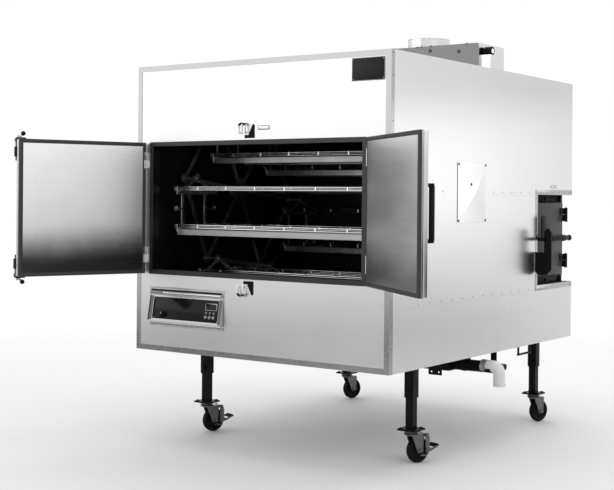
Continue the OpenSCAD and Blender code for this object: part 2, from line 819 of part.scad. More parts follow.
module shaft_bearings() color(grey) cab() {
  difference() {
    union() {
      rod_x([-bearing_t, rotor_y, rotor_z], shaft_hole, wall + bearing_t);
      box([-bearing_t, rotor_y - bearing_out, rotor_z - bearing_out],
        [0, rotor_y + bearing_out, rotor_z + bearing_out]);
    }
    rod_x([-20, rotor_y, rotor_z], shaft_d + 2 * fit, wall + 30);
  }
  difference() {
    union() {
      rod_x([cham_x1, rotor_y, rotor_z], shaft_hole, wall - 8);
      box([cham_x1 + liner, rotor_y - bearing_in, rotor_z - bearing_in],
        [cham_x1 + liner + bearing_t, rotor_y + bearing_in, rotor_z + bearing_in]);
    }
    rod_x([cham_x1 - 10, rotor_y, rotor_z], shaft_d + 2 * fit, wall + 30);
  }
}

module gear_motor() color(grey) cab() difference() {
  union() {
    box([-bearing_t - gear_l, rotor_y - gear_d / 2, rotor_z - gear_h / 2],
      [-bearing_t, rotor_y + gear_d / 2, rotor_z + gear_h / 2]);
    rod_y([-bearing_t - gear_l / 2, rotor_y + gear_d / 2, rotor_z], can_d, can_l);
  }
  rod_x([-bearing_t - shaft_in - 2, rotor_y, rotor_z], shaft_d + 2 * fit, shaft_in + bearing_t + 2);
}

module drive_guard() color(steel) cab() difference() {
  box([-guard_out, rotor_y - guard_front, rotor_z - guard_half],
    [0, rotor_y + guard_back, rotor_z + guard_half]);
  box([skin - guard_out, rotor_y - guard_front + skin, rotor_z - guard_half + skin],
    [seam, rotor_y + guard_back - skin, rotor_z + guard_half - skin]);
  for (i = [0:guard_slots - 1]) translate([0, rotor_y + can_d / 2 + slot_pitch * i, rotor_z - guard_half])
    box([30 - guard_out, 0, -10], [-40, 10, 10]);
}

module firebox_trim() color(bright) cab() difference() {
  box([cabinet_w, fire_y - fire_trim, fire_z - fire_trim],
    [cabinet_w + trim_t, cabinet_d, fire_z1 + fire_trim]);
  box([cabinet_w - seam, fire_y, fire_z], [cabinet_w + 2 * trim_t, cabinet_d + seam, fire_z1]);
}

mouth = [rear_x1, fire_y + mouth_in, fire_z + channel_h + mouth_in,
         fire_door_y1 - mouth_in, fire_z1 - channel_h - mouth_in];
module firebox_liner() color([0.2, 0.2, 0.21]) cab() {
  difference() {
    union() {
      box([rear_x1 - firebox_l, fire_y - 2, fire_z - 2], [rear_x1, rear_y1, fire_z1 + 2]);
      box([rear_x1 - 3, fire_y - 2, fire_z - 2], [rear_x1, cabinet_d, fire_z1 + 2]);
      heat_duct(0, 0);
      box([rear_x1 - 3, fire_y - 2, fire_z - 2], [cabinet_w, fire_y, fire_z1 + 2]);
      box([rear_x1 - 3, fire_y - 2, fire_z - 2], [cabinet_w, cabinet_d, fire_z]);
      box([rear_x1 - 3, fire_y - 2, fire_z1], [cabinet_w, cabinet_d, fire_z1 + 2]);
      box([rear_x1, fire_y, fire_z], [rear_x1 + channel_t, fire_door_y1, fire_z + channel_h]);
      box([rear_x1, fire_y, fire_z1 - channel_h], [rear_x1 + channel_t, fire_door_y1, fire_z1]);
    }
    box([rear_x1 - firebox_l + 5, fire_y + 5, fire_z + 5], [rear_x1 - 5, rear_y1 - 5, fire_z1 - 5]);
    box([rear_x1 - 6, mouth[1], mouth[2]], [rear_x1 + seam, mouth[3], mouth[4]]);
    heat_duct(-3, 8);
  }
  fire_fixed();
  grate_y0 = fire_y + grate_in;
  grate_pitch = (rear_y1 - grate_in - grate_y0) / (grate_bars - 1);
  for (i = [0:grate_bars - 1])
    rod_x([rear_x1 - firebox_l + 4, grate_y0 + grate_pitch * i, mouth[2] - 12], grate_d, firebox_l - 8);
}

module top_housing() color(steel) cab() {
  difference() {
    box([hood_in, hood_y, cabinet_h], [cabinet_w - hood_in, hood_y + hood_d, hood_z1]);
    box([hood_in + skin, hood_y + skin, cabinet_h - seam],
      [cabinet_w - hood_in - skin, hood_y + hood_d - skin, hood_z1 - skin]);
    rod_z([flue_x, flue_y, hood_z1 - 10], flue_d - 2 * flue_t, 20);
    rod_x([fan_x - 10, fan_y, fan_z], fan_shaft + 6, 20);
  }
  stand_z = fan_z - motor_d / 2 - 1;
  difference() {
    box([fan_x, fan_y - stand_w / 2, cabinet_h], [fan_x + stand_l, fan_y + stand_w / 2, stand_z]);
    box([fan_x + skin, fan_y - stand_w / 2 + skin, cabinet_h - seam],
      [fan_x + stand_l - skin, fan_y + stand_w / 2 - skin, stand_z - skin]);
  }
}

module flue_collar() color(bright) cab() difference() {
  union() {
    rod_z([flue_x, flue_y, hood_z1], flue_d, flue_h);
    rod_z([flue_x, flue_y, hood_z1], flue_d + 2 * flue_flange, 3);
  }
  rod_z([flue_x, flue_y, hood_z1 - seam], flue_d - 2 * flue_t, flue_h + 2 * seam);
}

module draft_motor() color(dark) cab() difference() {
  union() {
    rod_x([fan_x + 8, fan_y, fan_z], motor_d, motor_l);
    box([fan_x + 12, fan_y - motor_d / 2 + 1, fan_z - motor_d / 2 - 1],
      [fan_x + motor_l + 2, fan_y + motor_d / 2 - 1, fan_z - motor_d / 4]);
  }
  rod_x([fan_x + 6, fan_y, fan_z], fan_shaft + 2 * fit, 30);
}

module draft_fan() color(grey) cab() {
  rod_x([fan_x - 70, fan_y, fan_z], fan_shaft, 70 + 30);
  difference() {
    rod_x([fan_x - 70, fan_y, fan_z], 30, 40);
    rod_x([fan_x - 71, fan_y, fan_z], fan_shaft - 1, 42);
  }
  for (i = [0:7]) translate([fan_x - 65, fan_y, fan_z]) rotate([45 * i, 0, 0])
    translate([0, -1.5, 12]) cube([30, 3, fan_r - 12]);
}

module drain_trough() color(steel) cab() {
  half = trough_w / 2;
  pipe_x1 = elbow_x + outlet_l - 74;
  difference() {
    union() {
      box([pipe_x0 - trough_l, drain_y - half, drain_z - trough_drop], [pipe_x0, drain_y + half, 0]);
      rod_x([pipe_x0 - trough_t - 1, drain_y, drain_z], drain_d, pipe_x1 - pipe_x0 + trough_t + 1);
      rod_x([cabinet_w - band_in, drain_y, drain_z], drain_d + 5, band_w);
    }
    box([pipe_x0 - trough_l + trough_t, drain_y - half + trough_t, drain_z - trough_drop + trough_t],
      [pipe_x0 - trough_t, drain_y + half - trough_t, seam]);
    rod_x([pipe_x0 - 8, drain_y, drain_z], drain_d - 2 * pipe_t, elbow_x - pipe_x0 + 8);
  }
  plate_x = cabinet_w - bracket_in;
  difference() {
    box([plate_x - plate_w / 2, drain_y - half - bracket_t, drain_z - bracket_drop],
      [plate_x + plate_w / 2, drain_y - half, 0]);
    for (s = [-hole_gap / 2, hole_gap / 2])
      rod_y([plate_x + s, drain_y - half - 10, drain_z - bracket_drop + 16], hole_d, 20);
  }
}

module drain_elbow() color([0.92, 0.92, 0.9]) cab() {
  difference() {
    union() {
      rod_x([elbow_x - socket - 6, drain_y, drain_z], elbow_d, socket + 6);
      translate([elbow_x, drain_y, drain_z]) sphere(d = elbow_d, $fn = 48);
      rod_z([elbow_x, drain_y, drain_z - down_l], elbow_d, down_l);
    }
    rod_x([elbow_x - socket - 14, drain_y, drain_z], drain_d, socket + 14 + outlet_l - 74);
    rod_x([elbow_x - socket - 14, drain_y, drain_z], drain_d - 12, socket + 14);
    rod_z([elbow_x, drain_y, drain_z - down_l - 14], drain_d - 12, down_l + 14);
    rod_z([elbow_x, drain_y, drain_z - down_l - 14], outlet_d, outlet_l + 14);
  }
}

module leg_sleeves() color(dark) cab() {
  for (p = legs) translate([p[0], p[1], 0]) difference() {
    union() {
      box([-sleeve / 2, -sleeve / 2, -sleeve_l], [sleeve / 2, sleeve / 2, 0]);
      box([-flange / 2, -flange / 2, -flange_t], [flange / 2, flange / 2, 0]);
    }
    box([-tube / 2, -tube / 2, -sleeve_l - seam], [tube / 2, tube / 2, -flange_t]);
  }
  rail_x = cabinet_w - rail_in;
  for (y = [rail_y, rail_y + rail_l]) rod_z([rail_x, y, -rail_drop], rail_d, rail_drop);
  rod_y([rail_x, rail_y - rail_d / 2, -rail_drop], rail_d, rail_l + rail_d);
  stub_x = cabinet_w - 30 - stub_l;
  rod_x([stub_x - 10, stub_y, -stub_drop], stub_d + 6, stub_l + 10 - stub_free);
  rod_x([stub_x, stub_y, -stub_drop], stub_d, stub_l);
  rod_z([stub_x + 10, stub_y, -stub_drop], stub_d, stub_drop);
}

module leg_tubes() color(dark) cab() for (p = legs) translate([p[0], p[1], 0]) {
  difference() {
    box([-tube / 2, -tube / 2, fork_z + plate_t], [tube / 2, tube / 2, -flange_t]);
    box([-tube / 2 + 3, -tube / 2 + 3, fork_z + plate_t + 6], [tube / 2 - 3, tube / 2 - 3, -5]);
  }
  box([-foot / 2, -foot / 2, fork_z], [foot / 2, foot / 2, fork_z + plate_t]);
  rod_z([0, 0, fork_z - swivel_h + 1], swivel_pin, swivel_h);
}

// one caster, turned about its swivel; the axle trails behind it
module at_caster(i) translate([legs[i][0], legs[i][1], 0]) rotate([0, 0, caster_turn]) children();
axle_z = wheel_d / 2 - lift;
cheek = wheel_w / 2 + wheel_gap;
swivel_h = 23;
crown_z = fork_z - swivel_h - 1;
module caster_fork(i) color(grey) cab() at_caster(i) difference() {
  union() {
    rod_z([0, 0, crown_z], swivel_d, swivel_h);
    box([-12, -cheek - cheek_t, crown_z], [trail + 20, cheek + cheek_t, crown_z + 6]);
    for (s = [-1, 1]) translate([0, s * (cheek + cheek_t / 2) + cheek_t / 2, 0]) rotate([90, 0, 0])
      linear_extrude(height = cheek_t) polygon([[-12, crown_z + 6], [trail + 20, crown_z + 6],
        [trail + 16, axle_z - axle_d], [trail - 16, axle_z - axle_d]]);
    rod_y([trail, -cheek - 8, axle_z], axle_d, 2 * cheek + 16);
  }
  rod_z([0, 0, crown_z - 6], swivel_pin + 2 * fit, 40);
}
module caster_wheel(i) color(dark) cab() at_caster(i)
  translate([trail, -wheel_w / 2, axle_z]) rotate([-90, 0, 0]) difference() {
    cylinder(d = wheel_d, h = wheel_w, $fn = 96);
    rod_z([0, 0, -seam], axle_d + 2 * fit, wheel_w + 2 * seam);
  }
pedal_z = axle_z + wheel_d / 2 + 10;
pedal_x = trail + 34;
arm_y = pedal_w / 2 + 6;
module brake_pedal(i) color(dark) cab() at_caster(i) difference() {
  union() {
    rod_y([pedal_x, -pedal_w / 2, pedal_z], 14, pedal_w);
    box([pedal_x, -pedal_w / 2, pedal_z - 3], [pedal_x + pedal_l, pedal_w / 2, pedal_z + 3]);
  }
  rod_y([pedal_x, -arm_y, pedal_z], pedal_pin + 2 * fit, 2 * arm_y);
}
pedal_pin = 8;
module pedal_arm(i) at_caster(i) union() {
  for (s = [-1, 1])
    box([pedal_x - 20, s * arm_y - 3, pedal_z - 8], [pedal_x + 6, s * arm_y + 3, pedal_z + 6]);
  rod_y([pedal_x, -arm_y, pedal_z], pedal_pin, 2 * arm_y);
}
module caster_fork_1() { caster_fork(0); color(grey) cab() pedal_arm(0); }
module caster_fork_2() { caster_fork(1); color(grey) cab() pedal_arm(1); }
module caster_fork_3() caster_fork(2);
module caster_fork_4() caster_fork(3);
module caster_wheel_1() caster_wheel(0);
module caster_wheel_2() caster_wheel(1);
module caster_wheel_3() caster_wheel(2);
module caster_wheel_4() caster_wheel(3);
module brake_pedal_1() brake_pedal(0);
module brake_pedal_2() brake_pedal(1);

// door frames: x from the hinge axis to the free edge, y behind the axis
module at_left(turn) translate([hinge_l, -hinge_front, 0]) rotate([0, 0, -turn]) children();
module at_right(turn) translate([hinge_r, -hinge_front, 0]) rotate([0, 0, turn])
  mirror([1, 0, 0]) children();
edge = door_past_hinge + door_w;
pan_y = -step_t - pan_t;
half_h = hinge_h / 2;
handle_z = leaf_z0 + handle_up;

module knuckle(z, h) rod_z([0, 0, z], knuckle_d, h);
module door_body() difference() {
  union() {
    difference() {
      union() {
        box([door_past_hinge, -step_t, leaf_z0], [edge, 0, leaf_z1]);
        box([pan_back, pan_y, leaf_z0 + 3], [edge, -step_t, leaf_z1 - 3]);
        box([door_past_hinge + gasket_w, -1, leaf_z0 + gasket_w],
          [edge - gasket_w, gasket_t - 0.7, leaf_z1 - gasket_w]);
      }
      for (z = hinge_zs) box([-10, -step_t - seam, z - 1], [notch_x, seam, z + hinge_h + 1]);
    }
    for (z = hinge_zs) {
      knuckle(z + half_h + 0.4, half_h - 0.4);
      box([0, -knuckle_d / 2 + 0.5, z + half_h + 0.4], [notch_x + 6, -1, z + hinge_h]);
    }
  }
  for (z = hinge_zs) rod_z([0, 0, z - 2], hinge_pin_d + 2 * fit, hinge_h + 4);
}
module door_gasket() difference() {
  ring_y(door_past_hinge, leaf_z0, edge, leaf_z1, gasket_w, 0, gasket_t);
  for (z = hinge_zs) box([-10, -seam, z - 1], [notch_x + 5, gasket_t + seam, z + hinge_h + 1]);
}
module handle(x) {
  rod_z([x, pan_y - handle_out, handle_z], handle_d, handle_h);
  for (z = [handle_z, handle_z + handle_h])
    box([x - bracket_w / 2, pan_y - handle_out - 6, z - bracket_h / 2],
      [x + bracket_w / 2, pan_y, z + bracket_h / 2]);
}
module fixed_hinges() for (z = hinge_zs) {
  knuckle(z, half_h);
  rod_z([0, 0, z], hinge_pin_d, hinge_h);
  box([-leaf_t, 0, z], [leaf_t, hinge_front, z + half_h]);
  box([-16, hinge_front - leaf_t, z], [leaf_t, hinge_front, z + hinge_h]);
}

pivot_x = edge - pivot_in;
pivot_z = [leaf_z1 - pivot_end, leaf_z0 + pivot_end];
lever_y = pan_y - latch_t - 1;
strike_z = latch_l - 20;
module latch_body(z, s) {
  span(edge - 1 - latch_w, pan_y - latch_t, edge - 1, pan_y, z, -latch_l, latch_over, s);
  span(edge - 1, pan_y - latch_t, edge + strike_out, pan_y - 5, z, -strike_z, strike_l - strike_z, s);
  rod_y([pivot_x, lever_y - 11, z], pivot_d, 12);
}
module finger(z, angle, l) translate([pivot_x, lever_y - 2 - lever_t, z]) rotate([0, -angle, 0])
  translate([0, 0, -lever_t]) cube([l, lever_t, 2 * lever_t]);
module lever(z, s) difference() {
  union() {
    rod_y([pivot_x, lever_y - 8.5, z], 2 * pivot_d + 4, 8);
    finger(z, 135 * s, lever_l - ball_d / 2 - joint_gap);
    finger(z, 112 * s, finger_l);
    translate([pivot_x - lever_l * cos(45), lever_y - 2 - lever_t / 2, z + s * lever_l * sin(45)])
      sphere(d = ball_d, $fn = 40);
  }
  rod_y([pivot_x, lever_y - 30, z], pivot_d + 2 * fit, 40);
}

module hinge_leaves() color(bright) cab() {
  at_left(0) fixed_hinges();
  at_right(0) fixed_hinges();
}
module left_door() color(steel) cab() at_left(left_open) door_body();
module left_door_gasket() color(dark) cab() at_left(left_open) door_gasket();
module left_door_hardware() color(dark) cab() at_left(left_open) {
  handle(edge - handle_in);
  latch_body(pivot_z[0], 1);
  latch_body(pivot_z[1], -1);
}
module upper_latch() color(dark) cab() at_left(left_open) lever(pivot_z[0], 1);
module lower_latch() color(dark) cab() at_left(left_open) lever(pivot_z[1], -1);
module right_door() color(steel) cab() at_right(right_open) door_body();
module right_door_gasket() color(dark) cab() at_right(right_open) door_gasket();
module right_door_handle() color(dark) cab() at_right(right_open) handle(edge - handle_in_r);

// the firebox door turns about an upright pin in the corner notch
fire_pin_x = cabinet_w - fire_pin_in;
fire_pin_y = fire_door_y1 + fire_pin_back;
fire_hinge_zs = [fire_z + fire_hinge_low, fire_z1 - fire_hinge_high - fire_hinge_h];
fire_face = rear_x1 + 1 + fire_door_t;
latch_x = cabinet_w + 18;
latch_y = fire_door_y1 - 12;
latch_pin_d = 12;
module fire_fixed() for (z = fire_hinge_zs) {
  rod_z([fire_pin_x, fire_pin_y, z], fire_leaf_d, fire_hinge_h / 2);
  rod_z([fire_pin_x, fire_pin_y, z], fire_pin_d, fire_hinge_h);
  box([rear_x1 - 1, fire_pin_y - 6, z], [fire_pin_x, fire_pin_y + 6, z + fire_hinge_h / 2]);
}
module firebox_door() color([0.32, 0.32, 0.33]) cab() difference() {
  union() {
    box([rear_x1 + 1, fire_y + 8, fire_z + channel_h + 3],
      [fire_face, fire_door_y1 - 3, fire_z1 - channel_h - 3]);
    for (z = fire_hinge_zs) {
      rod_z([fire_pin_x, fire_pin_y, z + fire_hinge_h / 2 + 0.5], fire_leaf_d, fire_hinge_h / 2 - 0.5);
      box([fire_face - 1, fire_pin_y - 60, z + fire_hinge_h / 2 + 0.5],
        [fire_pin_x, fire_pin_y, z + fire_hinge_h]);
    }
    rod_x([fire_face - 1, latch_y, latch_z], 26, latch_x - 0.5 - fire_face + 1);
    rod_x([fire_face - 1, latch_y, latch_z], latch_pin_d, latch_x + latch_bar_t + 8 - fire_face);
  }
  for (z = fire_hinge_zs)
    rod_z([fire_pin_x, fire_pin_y, z - 1], fire_pin_d + 2 * fit, fire_hinge_h + 2);
}
module firebox_latch() color(dark) cab() difference() {
  plate_y = fire_y - hook_y;
  x1 = latch_x + hook_out;
  x2 = x1 - prong_w;
  union() {
    rod_x([latch_x, latch_y, latch_z], latch_bar + 6, latch_bar_t);
    box([latch_x, latch_y - latch_grip, latch_z - latch_bar / 2],
      [latch_x + latch_bar_t, latch_y, latch_z + latch_bar / 2]);
    box([latch_x + 3, plate_y - hook_t, latch_z - 9], [latch_x + 9, latch_y - latch_grip + 10, latch_z + 9]);
    box([latch_x + 2, fire_y, latch_z - 9], [latch_x + 8, fire_y + stay_w, latch_z + stay_h]);
    box([latch_x - 1, plate_y - hook_t, latch_z - 9], [latch_x + 50, plate_y, latch_z + 9]);
    translate([0, plate_y, latch_z]) rotate([90, 0, 0]) linear_extrude(height = hook_t) polygon(
      [[latch_x - 15, 10 - hook_low], [latch_x - 5, -hook_low], [x1 - 10, -hook_low], [x1, 10 - hook_low],
       [x1, hook_high - 8], [x1 - 9, hook_high], [x2 + 9, hook_high], [x2, hook_high - 8],
       [x2, -hook_step], [latch_x - 15, -hook_step]]);
  }
  rod_x([latch_x - seam, latch_y, latch_z], latch_pin_d + 2 * fit, latch_bar_t + 8);
}

module spoke(a) translate([1, rotor_y, rotor_z]) rotate([a, 0, 0])
  translate([0, 10, -wheel_bar / 2]) cube([wheel_t - 2, rotor_r - 10, wheel_bar]);
module wheel() {
  rod_x([-4, rotor_y, rotor_z], hub_d, wheel_t + 8);
  for (a = tip) {
    spoke(a);
    translate([0, rotor_y + rotor_r * cos(a), rotor_z + rotor_r * sin(a)]) {
      rod_x([-1, 0, 0], 2 * wheel_bar + 3, wheel_t + 2);
      rotate([a - 120, 0, 0]) translate([0, 14, -wheel_bar / 2]) cube([wheel_t, rotor_r - 28, wheel_bar]);
    }
  }
}
module rotor() color(grey) cab() {
  over = 8;
  rod_x([-shaft_in, rotor_y, rotor_z], shaft_d, cabinet_w - 8 + shaft_in);
  for (x = wheel_x) translate([x, 0, 0]) difference() {
    wheel();
    rod_x([-10, rotor_y, rotor_z], shaft_d + 2 * joint_gap, 30);
  }
  pin0 = wheel_x[0] + wheel_t + 1 + joint_gap;
  pin1 = frame_x[1] - over;
  for (a = tip) translate([0, rotor_y + rotor_r * cos(a), rotor_z + rotor_r * sin(a)]) {
    rod_x([pin0, 0, 0], hang_pin_d, frame_x[0] + frame_t + over - pin0);
    rod_x([pin1, 0, 0], hang_pin_d, wheel_x[1] - 1 - joint_gap - pin1);
  }
}

beam_x0 = frame_x[0] + frame_t + joint_gap;
beam_x1 = frame_x[1] - joint_gap;
arm_in = 40;
arm_a = atan2(rack_up, stop_half - arm_in);
// stops and shelves stand out from the flat frame: stops outward, shelves inward
module end_frame(x, s) translate([x, 0, 0]) {
  stop_x0 = s > 0 ? frame_t - stop_h : 0;
  shelf_x0 = s > 0 ? 0 : -shelf;
  half = flat_w / 2;
  difference() {
    union() {
      rod_x([0, 0, 0], hang_pin_d + 28, frame_t);
      for (q = [0, 1]) rotate([q ? -arm_a : arm_a - 180, 0, 0]) translate([0, 8, -9])
        cube([frame_t, norm([rack_up, stop_half - arm_in]), 18]);
      for (z = [rack_up, rack_low]) {
        box([0, -stop_half, -z - 20], [frame_t, stop_half, -z]);
        for (q = [-stop_half, stop_half - stop_t])
          box([stop_x0, q, -z - 2], [stop_x0 + stop_h, q + stop_t, stop_h - z]);
        box([shelf_x0, -stop_half + stop_t, -z - 4],
          [shelf_x0 + frame_t + shelf, stop_half - stop_t, -z]);
      }
      for (q = [-stop_half + 8, stop_half - 8 - beam])
        box([0, q, -carrier_drop], [frame_t, q + beam, -rack_low - 18]);
      for (y = [-bar_front, bar_rear]) box([0, y - half, -rack_low - 2], [frame_t, y + half, -rack_up - 2]);
      box([0, -stop_half, -bar_mid - 8], [frame_t, -bar_front + 4, -bar_mid + 8]);
      box([0, bar_rear, -bar_mid - 8], [frame_t, stop_half, -bar_mid + 8]);
      for (q = [-stop_half, stop_half - stop_t])
        box([stop_x0, q, -bar_mid - 8], [stop_x0 + stop_h, q + stop_t, stop_h - 8 - bar_mid]);
    }
    rod_x([-30, 0, 0], hang_pin_d + 2 * fit, 80);
  }
}
module rack(z) {
  x0 = frame_x[0] + frame_t + 1;
  x1 = frame_x[1] - 1;
  y1 = rack_d / 2;
  pitch = (x1 - x0 - wire_d) / (rack_wires + 1);
  for (y = [-y1, y1 - wire_d], h = [0, rail_h])
    box([x0, y, h - z], [x1, y + wire_d, h - z + wire_d]);
  for (i = [0:rack_wires + 1]) box([x0 + pitch * i, -y1, -z], [x0 + pitch * i + wire_d, y1, wire_d - z]);
  for (i = [0:rail_posts - 1], y = [-y1, y1 - wire_d]) {
    x = x0 + (x1 - x0) * (i + 0.5) / rail_posts;
    box([x, y, -z], [x + wire_d, y + wire_d, rail_h + wire_d - z]);
  }
}
module carrier(i) color(bright) cab()
  translate([0, rotor_y + rotor_r * cos(tip[i]), rotor_z + rotor_r * sin(tip[i])]) {
    end_frame(frame_x[0], 1);
    end_frame(frame_x[1], -1);
    for (y = [-stop_half + 8, stop_half - 8 - beam]) {
      box([beam_x0, y, -carrier_drop], [beam_x1, y + beam, 4 - carrier_drop]);
      box([beam_x0, y, -carrier_drop], [beam_x1, y + 4, beam - carrier_drop]);
    }
    rack(rack_up - 3 * joint_gap);
    rack(rack_low - 3 * joint_gap);
  }
module carrier_1() carrier(0);
module carrier_2() carrier(1);
module carrier_3() carrier(2);
module carrier_4() carrier(3);
module carrier_5() carrier(4);
module carrier_6() carrier(5);

front_panel();
side_panels();
casing_wrap();
bottom_panel();
corner_trim();
insulation();
chamber_liner();
door_jamb();
control_frame();
control_housing();
control_faceplate();
panel_lights();
latch_keepers();
side_cover();
firebox_trim();
firebox_liner();
top_housing();
flue_collar();
draft_motor();
shaft_bearings();
gear_motor();
drive_guard();
drain_trough();
drain_elbow();
leg_sleeves();
leg_tubes();
hinge_leaves();
button_1();
button_2();
button_3();
control_knob();
left_door();
left_door_gasket();
left_door_hardware();
upper_latch();
lower_latch();
right_door();
right_door_gasket();
right_door_handle();
firebox_door();
firebox_latch();
rotor();
draft_fan();
carrier_1();
carrier_2();
carrier_3();
carrier_4();
carrier_5();
carrier_6();
caster_fork_1();
caster_fork_2();
caster_fork_3();
caster_fork_4();
caster_wheel_1();
caster_wheel_2();
caster_wheel_3();
caster_wheel_4();
brake_pedal_1();
brake_pedal_2();
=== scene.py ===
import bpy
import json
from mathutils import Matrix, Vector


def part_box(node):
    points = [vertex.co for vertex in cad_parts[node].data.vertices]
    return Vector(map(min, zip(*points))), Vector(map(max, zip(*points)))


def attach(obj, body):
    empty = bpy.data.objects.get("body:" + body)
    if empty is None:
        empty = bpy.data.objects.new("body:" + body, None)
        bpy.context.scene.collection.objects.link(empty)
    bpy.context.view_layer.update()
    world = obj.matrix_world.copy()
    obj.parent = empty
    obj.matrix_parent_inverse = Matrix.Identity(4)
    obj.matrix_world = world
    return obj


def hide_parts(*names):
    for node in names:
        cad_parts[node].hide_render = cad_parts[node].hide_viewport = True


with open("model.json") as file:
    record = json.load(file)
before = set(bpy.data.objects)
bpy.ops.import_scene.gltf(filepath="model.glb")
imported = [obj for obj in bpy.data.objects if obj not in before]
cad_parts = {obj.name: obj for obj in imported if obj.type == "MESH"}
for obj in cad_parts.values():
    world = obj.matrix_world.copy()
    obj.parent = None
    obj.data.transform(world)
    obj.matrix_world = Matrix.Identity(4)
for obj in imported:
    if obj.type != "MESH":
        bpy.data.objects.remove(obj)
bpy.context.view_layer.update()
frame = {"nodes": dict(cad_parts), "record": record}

import json
import math

import bmesh
import bpy
from mathutils import Matrix, Vector

nodes = frame["nodes"]
mm = 0.001

# the cabinet's own corner: left, front, underside
cabinetLow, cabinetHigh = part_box("side_panels")
cornerX, cornerY, cornerZ = cabinetLow.x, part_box("front_panel")[0].y, cabinetLow.z
cabinetWidth = cabinetHigh.x - cabinetLow.x
cabinetHeight = cabinetHigh.z - cabinetLow.z


def cab(x, y, z):
    # a place in the cabinet, in millimetres from its left front lower corner
    return Vector((cornerX + x * mm, cornerY + y * mm, cornerZ + z * mm))


def placed(name, data):
    thing = bpy.data.objects.new(name, data)
    bpy.context.collection.objects.link(thing)
    return thing


# camera
cameraFacts = {"place": (3.6624, -5.6986, 1.2976), "yaw": 35.56, "roll": 0.476, "lens": 70.95, "sensor": 36,
               "shift": -0.079, "farthest": 60}
cameraData = bpy.data.cameras.new("camera")
cameraData.sensor_width = cameraFacts["sensor"]
cameraData.lens = cameraFacts["lens"]
cameraData.shift_y = cameraFacts["shift"]
cameraData.clip_end = cameraFacts["farthest"]
camera = placed("camera", cameraData)
camera.matrix_world = (Matrix.Translation(cameraFacts["place"])
                       @ Matrix.Rotation(math.radians(cameraFacts["yaw"]), 4, "Z")
                       @ Matrix.Rotation(math.pi / 2, 4, "X")
                       @ Matrix.Rotation(math.radians(cameraFacts["roll"]), 4, "Z"))
bpy.context.scene.camera = camera
bpy.context.scene.view_settings.view_transform = "Standard"

# shared shader effects


def newGroup(name, inputs, outputs):
    tree = bpy.data.node_groups.new(name, "ShaderNodeTree")
    for label, kind, default in inputs:
        socket = tree.interface.new_socket(name=label, in_out="INPUT", socket_type=kind)
        socket.default_value = default
    for label, kind in outputs:
        tree.interface.new_socket(name=label, in_out="OUTPUT", socket_type=kind)
    return tree, tree.nodes.new("NodeGroupInput"), tree.nodes.new("NodeGroupOutput")


def feed(tree, socket, value):
    # a number is set on the socket, another node's output is linked to it
    if isinstance(value, (int, float)):
        socket.default_value = value
    else:
        tree.links.new(value, socket)


def mathNode(tree, operation, a, b, clamp=False):
    node = tree.nodes.new("ShaderNodeMath")
    node.operation = operation
    node.use_clamp = clamp
    feed(tree, node.inputs[0], a)
    feed(tree, node.inputs[1], b)
    return node.outputs[0]


def scaleNode(tree, vector, scale):
    node = tree.nodes.new("ShaderNodeVectorMath")
    node.operation = "SCALE"
    feed(tree, node.inputs[0], vector)
    feed(tree, node.inputs["Scale"], scale)
    return node.outputs[0]


def noiseNode(tree, vector, scale, detail, roughness=0.5):
    node = tree.nodes.new("ShaderNodeTexNoise")
    node.inputs["Detail"].default_value = detail
    node.inputs["Roughness"].default_value = roughness
    feed(tree, node.inputs["Scale"], scale)
    feed(tree, node.inputs["Vector"], vector)
    return node.outputs[0]


def objectPlace(tree):
    return tree.nodes.new("ShaderNodeTexCoord").outputs["Object"]


# rolled grain: fine lines along the sheet, with broad uneven patches under them
sheetGrain, grainIn, grainOut = newGroup(
    "sheetGrain",
    [("Stretch", "NodeSocketVector", (6, 6, 400)), ("Patch", "NodeSocketFloat", 1.6),
     ("Grain Depth", "NodeSocketFloat", 0.3), ("Tone", "NodeSocketColor", (0.8, 0.8, 0.8, 1)),
     ("Rough", "NodeSocketFloat", 0.3), ("Smudge", "NodeSocketFloat", 0.2)],
    [("Color", "NodeSocketColor"), ("Roughness", "NodeSocketFloat"), ("Height", "NodeSocketFloat")])
place = objectPlace(sheetGrain)
stretched = sheetGrain.nodes.new("ShaderNodeVectorMath")
stretched.operation = "MULTIPLY"
sheetGrain.links.new(place, stretched.inputs[0])
sheetGrain.links.new(grainIn.outputs["Stretch"], stretched.inputs[1])
lines = noiseNode(sheetGrain, stretched.outputs[0], 1.0, 3)
patches = noiseNode(sheetGrain, place, grainIn.outputs["Patch"], 4, 0.6)
lineOffset = mathNode(sheetGrain, "SUBTRACT", lines, 0.5)
patchOffset = mathNode(sheetGrain, "SUBTRACT", patches, 0.5)
lineTone = mathNode(sheetGrain, "MULTIPLY", lineOffset, grainIn.outputs["Grain Depth"])
patchTone = mathNode(sheetGrain, "MULTIPLY", patchOffset, grainIn.outputs["Smudge"])
tone = mathNode(sheetGrain, "ADD", mathNode(sheetGrain, "ADD", lineTone, patchTone), 1.0)
sheetGrain.links.new(scaleNode(sheetGrain, grainIn.outputs["Tone"], tone), grainOut.inputs["Color"])
roughShift = mathNode(sheetGrain, "ADD", mathNode(sheetGrain, "MULTIPLY", lineOffset, 0.12), patchTone)
sheetGrain.links.new(mathNode(sheetGrain, "ADD", grainIn.outputs["Rough"], roughShift, True),
                     grainOut.inputs["Roughness"])
sheetGrain.links.new(lines, grainOut.inputs["Height"])

